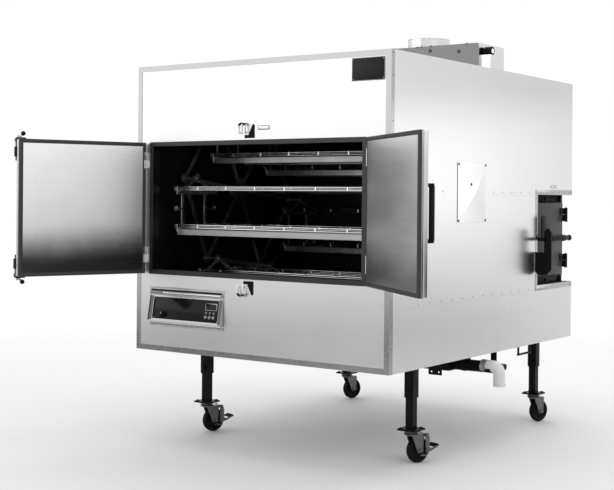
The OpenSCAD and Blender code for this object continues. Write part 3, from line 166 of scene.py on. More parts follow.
# painted or moulded skin: fine orange peel, dust that lies on upward faces, worn edges
coatSkin, coatIn, coatOut = newGroup(
    "coatSkin",
    [("Tone", "NodeSocketColor", (0.03, 0.03, 0.03, 1)), ("Worn Tone", "NodeSocketColor", (0.12, 0.12, 0.12, 1)),
     ("Peel", "NodeSocketFloat", 500.0), ("Dust", "NodeSocketFloat", 0.2), ("Rough", "NodeSocketFloat", 0.4)],
    [("Color", "NodeSocketColor"), ("Roughness", "NodeSocketFloat"), ("Height", "NodeSocketFloat")])
place = objectPlace(coatSkin)
facing = coatSkin.nodes.new("ShaderNodeNewGeometry")
upward = coatSkin.nodes.new("ShaderNodeSeparateXYZ")
coatSkin.links.new(facing.outputs["Normal"], upward.inputs[0])
cloud = noiseNode(coatSkin, place, 9.0, 5, 0.65)
dustMask = mathNode(coatSkin, "MULTIPLY", mathNode(coatSkin, "MULTIPLY", upward.outputs[2], cloud, True),
                    coatIn.outputs["Dust"], True)
edge = mathNode(coatSkin, "MULTIPLY", mathNode(coatSkin, "SUBTRACT", facing.outputs["Pointiness"], 0.53), 6.0, True)
wornMask = mathNode(coatSkin, "MAXIMUM", dustMask, mathNode(coatSkin, "MULTIPLY", edge, cloud, True))
mixTone = coatSkin.nodes.new("ShaderNodeMix")
mixTone.data_type = "RGBA"
coatSkin.links.new(wornMask, mixTone.inputs[0])
coatSkin.links.new(coatIn.outputs["Tone"], mixTone.inputs[6])
coatSkin.links.new(coatIn.outputs["Worn Tone"], mixTone.inputs[7])
coatSkin.links.new(mixTone.outputs[2], coatOut.inputs["Color"])
roughCloud = mathNode(coatSkin, "MULTIPLY", mathNode(coatSkin, "SUBTRACT", cloud, 0.5), 0.25)
roughBase = mathNode(coatSkin, "ADD", coatIn.outputs["Rough"], roughCloud)
coatSkin.links.new(mathNode(coatSkin, "ADD", roughBase, dustMask, True), coatOut.inputs["Roughness"])
coatSkin.links.new(noiseNode(coatSkin, place, coatIn.outputs["Peel"], 2), coatOut.inputs["Height"])


def groupMaterial(name, group, values, metallic, bump, specular=0.5):
    material = bpy.data.materials.new(name)
    material.use_nodes = True
    tree = material.node_tree
    shader = tree.nodes["Principled BSDF"]
    effect = tree.nodes.new("ShaderNodeGroup")
    effect.node_tree = group
    for label, value in values.items():
        effect.inputs[label].default_value = value
    shader.inputs["Metallic"].default_value = metallic
    shader.inputs["Specular IOR Level"].default_value = specular
    tree.links.new(effect.outputs["Color"], shader.inputs["Base Color"])
    tree.links.new(effect.outputs["Roughness"], shader.inputs["Roughness"])
    relief = tree.nodes.new("ShaderNodeBump")
    relief.inputs["Strength"].default_value = bump
    relief.inputs["Distance"].default_value = 0.0004
    tree.links.new(effect.outputs["Height"], relief.inputs["Height"])
    tree.links.new(relief.outputs["Normal"], shader.inputs["Normal"])
    return material


# painted shade: a finish darkens towards a low edge of the piece, in place of the darker reflection low on the door
# insides
lowShade, shadeIn, shadeOut = newGroup(
    "lowShade",
    [("Color", "NodeSocketColor", (0.8, 0.8, 0.8, 1)), ("Low", "NodeSocketFloat", 0.0),
     ("High", "NodeSocketFloat", 1.0), ("Darkest", "NodeSocketFloat", 0.2)],
    [("Color", "NodeSocketColor")])
place = objectPlace(lowShade)
heightSplit = lowShade.nodes.new("ShaderNodeSeparateXYZ")
lowShade.links.new(place, heightSplit.inputs[0])
cloud = noiseNode(lowShade, place, 2.2, 4, 0.55)
drift = mathNode(lowShade, "MULTIPLY", mathNode(lowShade, "SUBTRACT", cloud, 0.5), 0.12)
shadeRamp = lowShade.nodes.new("ShaderNodeMapRange")
shadeRamp.interpolation_type = "SMOOTHSTEP"
lowShade.links.new(mathNode(lowShade, "ADD", heightSplit.outputs[2], drift), shadeRamp.inputs["Value"])
lowShade.links.new(shadeIn.outputs["Low"], shadeRamp.inputs["From Min"])
lowShade.links.new(shadeIn.outputs["High"], shadeRamp.inputs["From Max"])
lowShade.links.new(shadeIn.outputs["Darkest"], shadeRamp.inputs["To Min"])
lowShade.links.new(scaleNode(lowShade, shadeIn.outputs["Color"], shadeRamp.outputs["Result"]), shadeOut.inputs["Color"])


# darkens a finish's colour towards its low edge: painted shade
def addLowShade(material, low, high, darkest):
    tree = material.node_tree
    shader = tree.nodes["Principled BSDF"]
    clean = shader.inputs["Base Color"].links[0].from_socket
    effect = tree.nodes.new("ShaderNodeGroup")
    effect.node_tree = lowShade
    for label, value in (("Low", low), ("High", high), ("Darkest", darkest)):
        effect.inputs[label].default_value = value
    tree.links.new(clean, effect.inputs["Color"])
    tree.links.new(effect.outputs["Color"], shader.inputs["Base Color"])


def grey(value, warm=0.0):
    return (value * (1 + warm), value, value * (1 - warm), 1)


def steel(name, tone, rough, stretch, smudge=0.1, depth=0.1, patch=1.6, bump=0.03, warm=0.0):
    values = {"Tone": grey(tone, warm), "Rough": rough, "Stretch": stretch, "Smudge": smudge, "Grain Depth": depth,
              "Patch": patch}
    return groupMaterial(name, sheetGrain, values, 1.0, bump)


def paint(name, tone, worn, rough, dust=0.15, peel=500.0, bump=0.06, warm=0.0, specular=0.5):
    values = {"Tone": grey(tone, warm), "Worn Tone": grey(worn, warm), "Rough": rough, "Dust": dust, "Peel": peel}
    return groupMaterial(name, coatSkin, values, 0.0, bump, specular)


# bare metal: stretch runs the grain along the sheet, smudge and patch are its uneven handling marks
steels = {
    "frontSteel": {"tone": 0.68, "rough": 0.30, "stretch": (5, 5, 420), "smudge": 0.08, "depth": 0.04, "bump": 0.01},
    "sideSteel": {"tone": 0.64, "rough": 0.30, "stretch": (5, 300, 5), "smudge": 0.07, "depth": 0.025, "patch": 1.1,
                  "bump": 0.006},
    "topSteel": {"tone": 0.66, "rough": 0.32, "stretch": (5, 420, 5)},
    "trimSteel": {"tone": 0.40, "rough": 0.24, "stretch": (60, 60, 60), "smudge": 0.1, "depth": 0.05},
    "coverSteel": {"tone": 0.6, "rough": 0.22, "stretch": (5, 5, 420), "smudge": 0.08},
    "collarSteel": {"tone": 0.68, "rough": 0.14, "stretch": (5, 5, 300), "smudge": 0.08},
    "doorSteel": {"tone": 0.56, "rough": 0.30, "stretch": (420, 420, 5), "smudge": 0.12},
    "chamberSteel": {"tone": 0.035, "rough": 0.5, "stretch": (30, 30, 30), "smudge": 0.5, "depth": 0.3, "patch": 5.0,
                     "warm": 0.1},
    "jambSteel": {"tone": 0.05, "rough": 0.4, "stretch": (30, 30, 30), "smudge": 0.4, "depth": 0.2, "patch": 5.0},
    "rotorSteel": {"tone": 0.30, "rough": 0.42, "stretch": (40, 40, 40), "smudge": 0.6, "depth": 0.3, "patch": 9.0,
                   "bump": 0.1},
    "carrierSteel": {"tone": 0.46, "rough": 0.3, "stretch": (8, 300, 300), "smudge": 0.5, "depth": 0.25, "patch": 8.0,
                     "bump": 0.06},
    "wireSteel": {"tone": 0.86, "rough": 0.16, "stretch": (30, 30, 30), "smudge": 0.15, "depth": 0.1, "patch": 8.0},
    "zincSteel": {"tone": 0.5, "rough": 0.34, "stretch": (90, 90, 90), "smudge": 0.3, "depth": 0.2, "patch": 20.0,
                  "bump": 0.08},
    "darkRivet": {"tone": 0.12, "rough": 0.4, "stretch": (90, 90, 90), "smudge": 0.3, "depth": 0.1, "patch": 20.0},
    "seamGrey": {"tone": 0.45, "rough": 0.4, "stretch": (90, 90, 90), "smudge": 0.2, "depth": 0.1, "patch": 20.0},
    "rackSteel": {"tone": 0.14, "rough": 0.3, "stretch": (30, 30, 30), "smudge": 0.5, "depth": 0.2, "patch": 8.0,
                  "bump": 0.08},
    "cheekSteel": {"tone": 0.1, "rough": 0.3, "stretch": (5, 5, 200), "smudge": 0.2, "depth": 0.1, "patch": 6.0},
    "forkSteel": {"tone": 0.16, "rough": 0.3, "stretch": (90, 90, 90), "smudge": 0.4, "depth": 0.2, "patch": 30.0,
                  "bump": 0.08},
    "hoodSteel": {"tone": 0.19, "rough": 0.36, "stretch": (5, 5, 200), "smudge": 0.1, "depth": 0.05, "patch": 3.0,
                  "bump": 0.01},
    "stepSteel": {"tone": 0.3, "rough": 0.24, "stretch": (60, 60, 60), "smudge": 0.1, "depth": 0.05},
    "leftInner": {"tone": 0.85, "rough": 0.3, "stretch": (4, 4, 300), "smudge": 0.12, "depth": 0.04, "patch": 2.5,
                  "bump": 0.01},
    "rightInner": {"tone": 0.78, "rough": 0.36, "stretch": (4, 4, 300), "smudge": 0.12, "depth": 0.04, "patch": 2.5,
                   "bump": 0.01},
    "leverSteel": {"tone": 0.42, "rough": 0.3, "stretch": (90, 90, 90), "smudge": 0.3, "depth": 0.15, "patch": 20.0},
    "beamSteel": {"tone": 0.36, "rough": 0.34, "stretch": (6, 200, 200), "smudge": 0.5, "depth": 0.2, "patch": 8.0,
                  "bump": 0.05},
    "clipSteel": {"tone": 0.92, "rough": 0.3, "stretch": (90, 90, 90), "smudge": 0.1, "depth": 0.05, "patch": 20.0},
}
# painted, moulded and cast finishes: worn is the tone of dust and rubbed edges
paints = {
    "blackPaint": {"tone": 0.004, "worn": 0.02, "rough": 0.36, "dust": 0.05, "specular": 0.08},
    "blackGloss": {"tone": 0.004, "worn": 0.02, "rough": 0.12, "dust": 0.02, "peel": 900.0, "bump": 0.02,
                   "specular": 0.14},
    "blackMatte": {"tone": 0.006, "worn": 0.03, "rough": 0.5, "dust": 0.08, "specular": 0.12},
    "fireDoorPaint": {"tone": 0.032, "worn": 0.09, "rough": 0.42, "dust": 0.1, "specular": 0.2},
    "gasketBlack": {"tone": 0.022, "worn": 0.06, "rough": 0.6, "dust": 0.1, "peel": 260.0, "bump": 0.2},
    "treadBlack": {"tone": 0.005, "worn": 0.02, "rough": 0.55, "dust": 0.1, "peel": 300.0, "bump": 0.15,
                   "specular": 0.1},
    "pipeWhite": {"tone": 0.80, "worn": 0.6, "rough": 0.3, "dust": 0.2, "peel": 700.0, "bump": 0.03},
    "castGrey": {"tone": 0.16, "worn": 0.3, "rough": 0.45, "dust": 0.4, "peel": 240.0, "bump": 0.25},
    "woolBuff": {"tone": 0.5, "worn": 0.6, "rough": 0.9, "dust": 0.3, "peel": 160.0, "bump": 0.7, "warm": 0.25},
    "windowDark": {"tone": 0.008, "worn": 0.03, "rough": 0.08, "dust": 0.02, "peel": 900.0, "bump": 0.01,
                   "warm": 0.05, "specular": 0.2},
    "plateBlack": {"tone": 0.005, "worn": 0.03, "rough": 0.3, "dust": 0.02, "peel": 900.0, "bump": 0.01,
                   "specular": 0.2},
    "lampRed": {"tone": 0.25, "worn": 0.3, "rough": 0.15, "dust": 0.02, "peel": 900.0, "bump": 0.02},
    "capGrey": {"tone": 0.30, "worn": 0.4, "rough": 0.3, "dust": 0.1, "peel": 600.0, "bump": 0.04},
}
# painted shade low on the insides of the doors: heights in metres over the floor, the last value is what is left of
# the tone
lowShading = {
    "leftInner": {"low": 0.955, "high": 1.165, "darkest": 0.06},
    "rightInner": {"low": 0.92, "high": 1.12, "darkest": 0.25},
}
finishes = {name: steel(name, **facts) for name, facts in steels.items()}
finishes.update({name: paint(name, **facts) for name, facts in paints.items()})
# the door insides are drawn darker towards the bottom: painted shade
for name, facts in lowShading.items():
    addLowShade(finishes[name], **facts)

# the finish of each CAD node, and of the families of numbered ones
nodeFinish = {
    "front_panel": "frontSteel", "side_panels": "sideSteel", "casing_wrap": "topSteel", "bottom_panel": "topSteel",
    "corner_trim": "trimSteel", "insulation": "woolBuff", "chamber_liner": "chamberSteel", "door_jamb": "jambSteel",
    "control_frame": "trimSteel", "control_housing": "trimSteel", "control_faceplate": "blackGloss",
    "panel_lights": "lampRed", "latch_keepers": "trimSteel", "side_cover": "coverSteel", "firebox_trim": "trimSteel",
    "firebox_liner": "blackMatte", "top_housing": "collarSteel", "flue_collar": "collarSteel",
    "draft_motor": "blackPaint", "shaft_bearings": "castGrey", "gear_motor": "castGrey", "drive_guard": "sideSteel",
    # drain_trough is drawn in black paint: its pipe is black, its steel trough and bracket are painted shade under the
    # cabinet
    "drain_trough": "blackPaint", "drain_elbow": "pipeWhite", "leg_sleeves": "blackPaint", "leg_tubes": "blackPaint",
    "hinge_leaves": "frontSteel", "control_knob": "blackMatte", "left_door": "doorSteel",
    "left_door_gasket": "gasketBlack", "left_door_hardware": "blackPaint", "upper_latch": "blackGloss",
    "lower_latch": "blackGloss", "right_door": "doorSteel", "right_door_gasket": "gasketBlack",
    "right_door_handle": "blackPaint", "firebox_door": "fireDoorPaint", "firebox_latch": "blackPaint",
    "rotor": "rotorSteel", "draft_fan": "zincSteel",
}
familyFinish = {"button_": "capGrey", "carrier_": "carrierSteel", "caster_fork_": "forkSteel",
                "caster_wheel_": "treadBlack", "brake_pedal_": "blackPaint"}
for name, node in nodes.items():
    finish = nodeFinish.get(name) or familyFinish[name.rstrip("0123456789")]
    node.data.materials.clear()
    node.data.materials.append(finishes[finish])
print("finishes made:", len(finishes))

# mesh helpers


def edgesOf(verts):
    return list(dict.fromkeys(e for v in verts for e in v.link_edges))


def facesOf(verts):
    return list(dict.fromkeys(f for v in verts for f in v.link_faces))


def roundEdges(bm, edges, offset, segments=2):
    bmesh.ops.bevel(bm, geom=edges, offset=offset, offset_type="OFFSET", segments=segments, affect="EDGES",
                    profile=0.5, material=-1, clamp_overlap=True)


def turnTo(axis):
    return Vector(axis).to_track_quat("Z", "Y").to_matrix().to_4x4()


def addBox(bm, low, high, bevel=0.0, segments=2, turn=None):
    low, high = Vector(low), Vector(high)
    made = bmesh.ops.create_cube(bm, size=1.0)["verts"]
    bmesh.ops.scale(bm, vec=high - low, verts=made)
    bmesh.ops.translate(bm, vec=(low + high) / 2, verts=made)
    if turn:
        bmesh.ops.transform(bm, matrix=turn, verts=made)
    if bevel:
        roundEdges(bm, edgesOf(made), bevel, segments)


def addRod(bm, start, end, radius, sides=12, tip=None, bevel=0.0):
    start, end = Vector(start), Vector(end)
    along = end - start
    made = bmesh.ops.create_cone(bm, cap_ends=True, segments=sides, radius1=radius,
                                 radius2=radius if tip is None else tip, depth=along.length,
                                 matrix=Matrix.Translation((start + end) / 2) @ turnTo(along))["verts"]
    if bevel:
        roundEdges(bm, [e for e in edgesOf(made) if any(len(f.verts) > 4 for f in e.link_faces)], bevel)


def addSpin(bm, profile, centre, axis, steps=40):
    # a profile of (radius, height) pairs turned about an axis
    points = [bm.verts.new((r, 0, h)) for r, h in profile]
    lines = [bm.edges.new(pair) for pair in zip(points, points[1:])]
    before = set(bm.verts) - set(points)
    bmesh.ops.spin(bm, geom=points + lines, cent=(0, 0, 0), axis=(0, 0, 1), angle=math.tau, steps=steps,
                   use_merge=True, use_duplicate=False)
    made = [v for v in bm.verts if v not in before]
    bmesh.ops.remove_doubles(bm, verts=made, dist=1e-6)
    made = [v for v in bm.verts if v not in before]
    bmesh.ops.recalc_face_normals(bm, faces=facesOf(made))
    bmesh.ops.transform(bm, matrix=Matrix.Translation(centre) @ turnTo(axis), verts=made)


def addDome(bm, centre, axis, radius, height=None, sides=12):
    height = radius * 0.6 if height is None else height
    size = Matrix.Diagonal((radius, radius, height, 1))
    bmesh.ops.create_uvsphere(bm, u_segments=sides, v_segments=6, radius=1.0,
                              matrix=Matrix.Translation(centre) @ turnTo(axis) @ size)


def addHex(bm, centre, axis, across, height, washer=True):
    # a bolt head: sizes go by the width across its flats
    axis = Vector(axis).normalized()
    centre = Vector(centre)
    if washer:
        addRod(bm, centre - axis * 0.0004, centre + axis * across * 0.14, across * 0.95, 20)
    addRod(bm, centre, centre + axis * height, across / 2 * 1.155, 6, bevel=across * 0.06)


def addPlate(bm, outline, depth, push, bevel=0.0):
    # a flat outline pushed along a vector into a plate
    corners = [bm.verts.new(p) for p in outline]
    face = bm.faces.new(corners)
    grown = bmesh.ops.extrude_face_region(bm, geom=[face], use_keep_orig=True)["geom"]
    moved = [v for v in grown if isinstance(v, bmesh.types.BMVert)]
    bmesh.ops.translate(bm, vec=Vector(push).normalized() * depth, verts=moved)
    made = corners + moved
    bmesh.ops.recalc_face_normals(bm, faces=facesOf(made))
    if bevel:
        roundEdges(bm, edgesOf(made), bevel)


def addTube(bm, route, radius, sides=12):
    # a round bar that follows a route of points: one ring at each, then the rings are joined
    route = [Vector(p) for p in route]
    rings = []
    for index, point in enumerate(route):
        before = route[max(index - 1, 0)]
        after = route[min(index + 1, len(route) - 1)]
        made = bmesh.ops.create_circle(bm, cap_ends=index in (0, len(route) - 1), segments=sides, radius=radius,
                                       matrix=Matrix.Translation(point) @ turnTo(after - before))["verts"]
        rings.append(edgesOf(made))
    for one, two in zip(rings, rings[1:]):
        bmesh.ops.bridge_loops(bm, edges=one + two)
    bmesh.ops.recalc_face_normals(bm, faces=bm.faces)


def settle(bm):
    # bevels leave corners and faces in an order that varies: sorted, they are the same in each run
    def spot(place):
        return tuple(round(value, 6) for value in place)

    for face in [f for f in bm.faces if len(f.verts) > 4]:
        corners = face.verts[:]
        first = min(range(len(corners)), key=lambda index: spot(corners[index].co))
        bm.faces.remove(face)
        bm.faces.new(corners[first:] + corners[:first])
    for parts, where in ((bm.verts, lambda vert: vert.co), (bm.faces, lambda face: face.calc_center_median())):
        rank = {part: place for place, part in enumerate(sorted(parts, key=lambda part: spot(where(part))))}
        parts.sort(key=rank.get)


def meshFrom(name, bm):
    mesh = bpy.data.meshes.new(name)
    bm.to_mesh(mesh)
    bm.free()
    return mesh


def smoothMesh(name, bm, sharp, material):
    mesh = meshFrom(name, bm)
    mesh.shade_smooth()
    mesh.set_sharp_from_angle(angle=math.radians(sharp))
    mesh.materials.append(material)
    return mesh


def finishPiece(name, bm, finish, body, stands=(), place=None, sharp=38, recalc=False):
    # the mesh becomes a piece that rides on a body and may stand for CAD nodes
    if place is not None:
        bmesh.ops.transform(bm, matrix=place, verts=bm.verts)
        if place.determinant() < 0:
            bmesh.ops.reverse_faces(bm, faces=bm.faces)
    if recalc:
        bmesh.ops.recalc_face_normals(bm, faces=bm.faces)
    settle(bm)
    piece = placed(name, smoothMesh(name, bm, sharp, finishes[finish]))
    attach(piece, body)
    if stands:
        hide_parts(*stands)
    return piece


bodyOfNode = {node: body for body, members in frame["record"]["behaviour"]["bodies"].items() for node in members}
jointFacts = {j["name"]: j for j in frame["record"]["behaviour"]["joints"]}


def refined(node, width):
    # a merged copy of a CAD node with softened edges stands for it
    source = nodes[node]
    bm = bmesh.new()
    bm.from_mesh(source.data)
    bmesh.ops.remove_doubles(bm, verts=bm.verts, dist=2e-6)
    bmesh.ops.dissolve_limit(bm, angle_limit=math.radians(0.6), verts=bm.verts, edges=bm.edges)
    piece = placed(node + ".soft", smoothMesh(node + ".soft", bm, 35, source.data.materials[0]))
    rounding = piece.modifiers.new("edges", "BEVEL")
    rounding.width = width
    rounding.segments = 2
    rounding.limit_method = "ANGLE"
    rounding.angle_limit = math.radians(40)
    rounding.harden_normals = False
    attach(piece, bodyOfNode[node])
    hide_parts(node)
    return piece


softEdges = {
    "corner_trim": 0.5, "control_housing": 0.6, "top_housing": 1.0, "draft_motor": 1.5, "drive_guard": 0.5,
    "gear_motor": 5, "leg_sleeves": 1.2, "hinge_leaves": 0.4, "rotor": 0.8, "shaft_bearings": 1.0, "side_cover": 0.6,
}
for node, width in softEdges.items():
    refined(node, width * mm)
print("CAD nodes softened:", len(softEdges))

# casing fasteners: dome rivets along the sheet joints, screws down the corner trim
casingRivets = {
    "radius": 3.4, "upperHeight": 839, "upperPlaces": (485, 1022, 1130, 1240, 1350, 1457),
    "lowerHeight": 306, "lowerFirst": 259, "lowerPitch": 108.7, "lowerCount": 12,
}
bm = bmesh.new()
side = cabinetWidth / mm
radius = casingRivets["radius"] * mm
for y in casingRivets["upperPlaces"]:
    addDome(bm, cab(side, y, casingRivets["upperHeight"]), (1, 0, 0), radius)
for step in range(casingRivets["lowerCount"]):
    y = casingRivets["lowerFirst"] + casingRivets["lowerPitch"] * step
    for x, way in ((side, 1), (0, -1)):
        addDome(bm, cab(x, y, casingRivets["lowerHeight"]), (way, 0, 0), radius)
finishPiece("casingRivets", bm, "darkRivet", "cabinet")

# seams: each is a span along the side and a span of heights, just proud of the sheet
seamFacts = {"proud": 0.15, "sunk": 0.4,
             "seams": (((960, 1516), (824.3, 825.7)), ((30, side * 1.3 - 4), (291, 292)))}
bm = bmesh.new()
for (near, far), (low, high) in seamFacts["seams"]:
    addBox(bm, cab(side - seamFacts["sunk"], near, low), cab(side + seamFacts["proud"], far, high))
finishPiece("casingSeams", bm, "seamGrey", "cabinet")

trimScrews = {"top": 1468, "pitch": 104, "count": 14, "inset": 15, "radius": 3.2, "trimThick": 1.5}
bm = bmesh.new()
for step in range(trimScrews["count"]):
    z = trimScrews["top"] - trimScrews["pitch"] * step
    for x, way in ((side + trimScrews["trimThick"], 1), (-trimScrews["trimThick"], -1)):
        addDome(bm, cab(x, trimScrews["inset"], z), (way, 0, 0), trimScrews["radius"] * mm)
finishPiece("trimScrews", bm, "darkRivet", "cabinet")

# bare plates: the black name place with its thin bright rim, and two small ones
namePlate = {"left": 1347, "right": 1530, "low": 1343, "high": 1452, "depth": 2.2, "border": 3, "faceOut": 0.5,
             "rivetInset": 9, "rivetRadius": 2.6}
left, right, low, high, depth = (namePlate[key] for key in ("left", "right", "low", "high", "depth"))
border, faceOut, inset = (namePlate[key] for key in ("border", "faceOut", "rivetInset"))
bm = bmesh.new()
addBox(bm, cab(left, -depth, low), cab(right, 0, high), 0.8 * mm)
finishPiece("nameplateBack", bm, "trimSteel", "cabinet")
bm = bmesh.new()
addBox(bm, cab(left + border, -depth - faceOut, low + border), cab(right - border, -faceOut, high - border), 0.3 * mm)
finishPiece("nameplateFace", bm, "plateBlack", "cabinet")
bm = bmesh.new()
for x in (left + inset, right - inset):
    for z in (low + inset, high - inset):
        addDome(bm, cab(x, -depth - 0.4, z), (0, -1, 0), namePlate["rivetRadius"] * mm)
finishPiece("nameplateRivets", bm, "trimSteel", "cabinet")
smallPlates = {"front": (798, 869, 1133, 1154), "side": (1740, 1816, 868, 883), "depth": 1.4, "border": 2.5,
               "faceOut": 0.4}
depth, border, faceOut = (smallPlates[key] for key in ("depth", "border", "faceOut"))
rims, faces = bmesh.new(), bmesh.new()
left, right, low, high = smallPlates["front"]
addBox(rims, cab(left, -depth, low), cab(right, 0, high), 0.5 * mm)
addBox(faces, cab(left + border, -depth - faceOut, low + border),
       cab(right - border, -faceOut, high - border), 0.3 * mm)
left, right, low, high = smallPlates["side"]
addBox(rims, cab(side, left, low), cab(side + depth, right, high), 0.5 * mm)
addBox(faces, cab(side + faceOut, left + border, low + border),
       cab(side + depth + faceOut, right - border, high - border), 0.3 * mm)
finishPiece("smallPlateRims", rims, "plateBlack", "cabinet")
finishPiece("smallPlateFaces", faces, "coverSteel", "cabinet")

# cover plate: a bolt near each corner and the dark line under its front edge
coverFacts = {"boltInset": 0.011, "boltAcross": 0.007, "boltHeight": 0.004, "sheet": 0.0018, "edgeInset": 0.004}
coverLow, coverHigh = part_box("side_cover")
inset = coverFacts["boltInset"]
bm = bmesh.new()
for y in (coverLow.y + inset, coverHigh.y - inset):
    for z in (coverLow.z + inset, coverHigh.z - inset):
        addHex(bm, (coverLow.x + coverFacts["sheet"], y, z), (1, 0, 0), coverFacts["boltAcross"],
               coverFacts["boltHeight"])
addBox(bm, (coverLow.x - 0.0006, coverLow.y - 0.003, coverLow.z + coverFacts["edgeInset"]),
       (coverLow.x + 0.0014, coverLow.y + 0.0005, coverHigh.z - coverFacts["edgeInset"]), 0.0003, 1)
finishPiece("coverBolts", bm, "darkRivet", "cabinet")
print("casing dressed")

# doors: x runs from the hinge axis to the free edge, y back towards the cabinet
doorFacts = {
    "left": {"turn": -111.5, "joint": "left_door_swing", "mirror": False, "handle": 605},
    "right": {"turn": 141.0, "joint": "right_door_swing", "mirror": True, "handle": 614},
    "pastHinge": 4, "width": 685, "low": 400, "high": 1083, "gasket": 11.7, "border": 20, "step": 8, "pan": 20,
    "panBack": 18, "hingeCuts": ((457, 539), (950, 1032)), "cutDepth": 14,
    "sheetThick": 2.0, "crown": 1.3, "gridSteps": 28, "dimples": (0.30, 0.69), "dimpleRadius": 3.6,
    "hinges": (458, 951), "knuckle": (40.4, 80), "knuckleRadius": 5.5, "leafWidth": 15, "cornerIn": 9,
    "handleLow": 616, "handleHeight": 256, "handleOut": 45, "barShort": 13, "barRadius": 12.5,
    "bracket": (14, 8), "bracketOut": 6, "foot": (20, 14), "footThick": 3, "bracketBolt": 9,
}


def doorPlace(which):
    facts = doorFacts[which]
    axis = Vector(jointFacts[facts["joint"]]["pos_m"])
    place = Matrix.Translation((axis.x, axis.y, cornerZ)) @ Matrix.Rotation(math.radians(facts["turn"]), 4, "Z")
    if facts["mirror"]:
        place = place @ Matrix.Diagonal((-1, 1, 1, 1))
    return place @ Matrix.Diagonal((mm, mm, mm, 1))


def makeDoor(which):
    d = doorFacts
    place = doorPlace(which)
    body = which + "_door"
    near, edge = d["pastHinge"], d["pastHinge"] + d["width"]
    back = -d["step"] - d["pan"]
    low, high, border, gasket = d["low"], d["high"], d["border"], d["gasket"]
    (cutLow, cutTop), (cutLow2, cutTop2) = d["hingeCuts"]
    edgeSpans = ((low, cutLow), (cutTop, cutLow2), (cutTop2, high))  # the hinge side, clear of the hinges
    # outer pan with folded edges, and the step behind it
    bm = bmesh.new()
    addBox(bm, (d["panBack"], back, low + 3), (edge, -d["step"], high - 3), 2.2, 3)
    finishPiece(which + "DoorPan", bm, "doorSteel", body, (which + "_door",), place)
    bm = bmesh.new()
    for bottom, top in edgeSpans:
        addBox(bm, (near, -d["step"], bottom), (d["cutDepth"], 0, top), 0.6)
    addBox(bm, (d["cutDepth"] - 1, -d["step"], low), (edge - 0.5, 0, high), 0.6)
    finishPiece(which + "DoorStep", bm, "stepSteel", body, (), place)
    # inner sheet, slightly crowned and uneven, with two bolt ends
    wide, tall = edge - near - 2 * border, high - low - 2 * border
    bm = bmesh.new()
    bmesh.ops.create_grid(bm, x_segments=d["gridSteps"], y_segments=d["gridSteps"], size=0.5)
    sheetMiddle = Matrix.Translation(((near + edge) / 2, gasket - 2.2, (low + high) / 2))
    bmesh.ops.transform(bm, matrix=sheetMiddle @ Matrix.Rotation(math.pi / 2, 4, "X")
                        @ Matrix.Diagonal((wide, tall, 1, 1)), verts=bm.verts)
    for vert in bm.verts:
        across = (vert.co.x - near - border) / wide
        up = (vert.co.z - low - border) / tall
        dome = (1 - (2 * across - 1) ** 6) * (1 - (2 * up - 1) ** 6)
        wave = 0.7 + 0.3 * math.sin(3.1 * up + 1.2) * math.cos(2.3 * across)
        vert.co.y += d["crown"] * dome * wave
    bmesh.ops.solidify(bm, geom=bm.faces[:], thickness=d["sheetThick"])
    bmesh.ops.recalc_face_normals(bm, faces=bm.faces)
    finishPiece(which + "DoorInner", bm, which + "Inner", body, (), place)
    bm = bmesh.new()
    for share in d["dimples"]:
        addDome(bm, (d[which]["handle"], gasket - 0.8, low + share * (high - low)), (0, 1, 0), d["dimpleRadius"], 1.6)
    finishPiece(which + "DoorBoltEnds", bm, "darkRivet", body, (), place)
    # gasket: a rounded rope round the edge, in lengths
    bm = bmesh.new()
    for bottom, top in edgeSpans:
        addBox(bm, (near, 0.2, bottom), (d["cutDepth"], gasket, top), 2.5, 3)
    addBox(bm, (d["cutDepth"] - 1, 0.2, low), (near + border, gasket, high), 2.5, 3)
    addBox(bm, (edge - border, 0.2, low), (edge, gasket, high), 2.5, 3)
    for bottom, top in ((low, low + border), (high - border, high)):
        addBox(bm, (near + border - 3, 0.2, bottom), (edge - border + 3, gasket, top), 2.5, 3)
    finishPiece(which + "DoorGasket", bm, "gasketBlack", body, (which + "_door_gasket",), place)
    # hinge knuckles, the moving leaf, and a bump at each free corner
    bm = bmesh.new()
    start, end = d["knuckle"]
    for height in d["hinges"]:
        addRod(bm, (0, 0, height + start), (0, 0, height + end), d["knuckleRadius"], 24, bevel=0.7)
        addBox(bm, (0, -5, height + start), (d["leafWidth"], -1, height + end), 0.6)
    for height in (low + d["cornerIn"], high - d["cornerIn"]):
        addDome(bm, (edge - 8, -d["step"] - 0.2, height), (0, 1, 0), 4.0, 2.2)
        addDome(bm, (edge - 6, gasket - 2.8, height), (0, 1, 0), 4.2, 2.4)
    finishPiece(which + "DoorHinges", bm, "trimSteel", body, (), place)
    # handle: a round bar on two brackets, bolted through the door
    x, out, radius = d[which]["handle"], back - d["handleOut"], d["barRadius"]
    bottom, top = d["handleLow"] + d["barShort"], d["handleLow"] + d["handleHeight"] - d["barShort"]
    bm = bmesh.new()
    profile = [(0, bottom), (radius - 2, bottom), (radius, bottom + 3), (radius, top - 3), (radius - 2, top), (0, top)]
    addSpin(bm, profile, (x, out, 0), (0, 0, 1), 28)
    finishPiece(which + "HandleBar", bm, "blackMatte", body, (), place)
    half, halfHeight = d["bracket"]
    foot, footHeight = d["foot"]
    bracketOut = out - d["bracketOut"]
    bm = bmesh.new()
    for height in (bottom, top):
        addBox(bm, (x - half, bracketOut, height - halfHeight), (x + half, back - 2.5, height + halfHeight), 2.2, 3)
        addBox(bm, (x - foot, back - d["footThick"], height - footHeight), (x + foot, back, height + footHeight), 0.9)
        addHex(bm, (x, bracketOut, height), (0, -1, 0), d["bracketBolt"], 4)
    finishPiece(which + "HandleBrackets", bm, "blackPaint", body,
                ("right_door_handle",) if which == "right" else (), place)


for which in ("left", "right"):
    makeDoor(which)

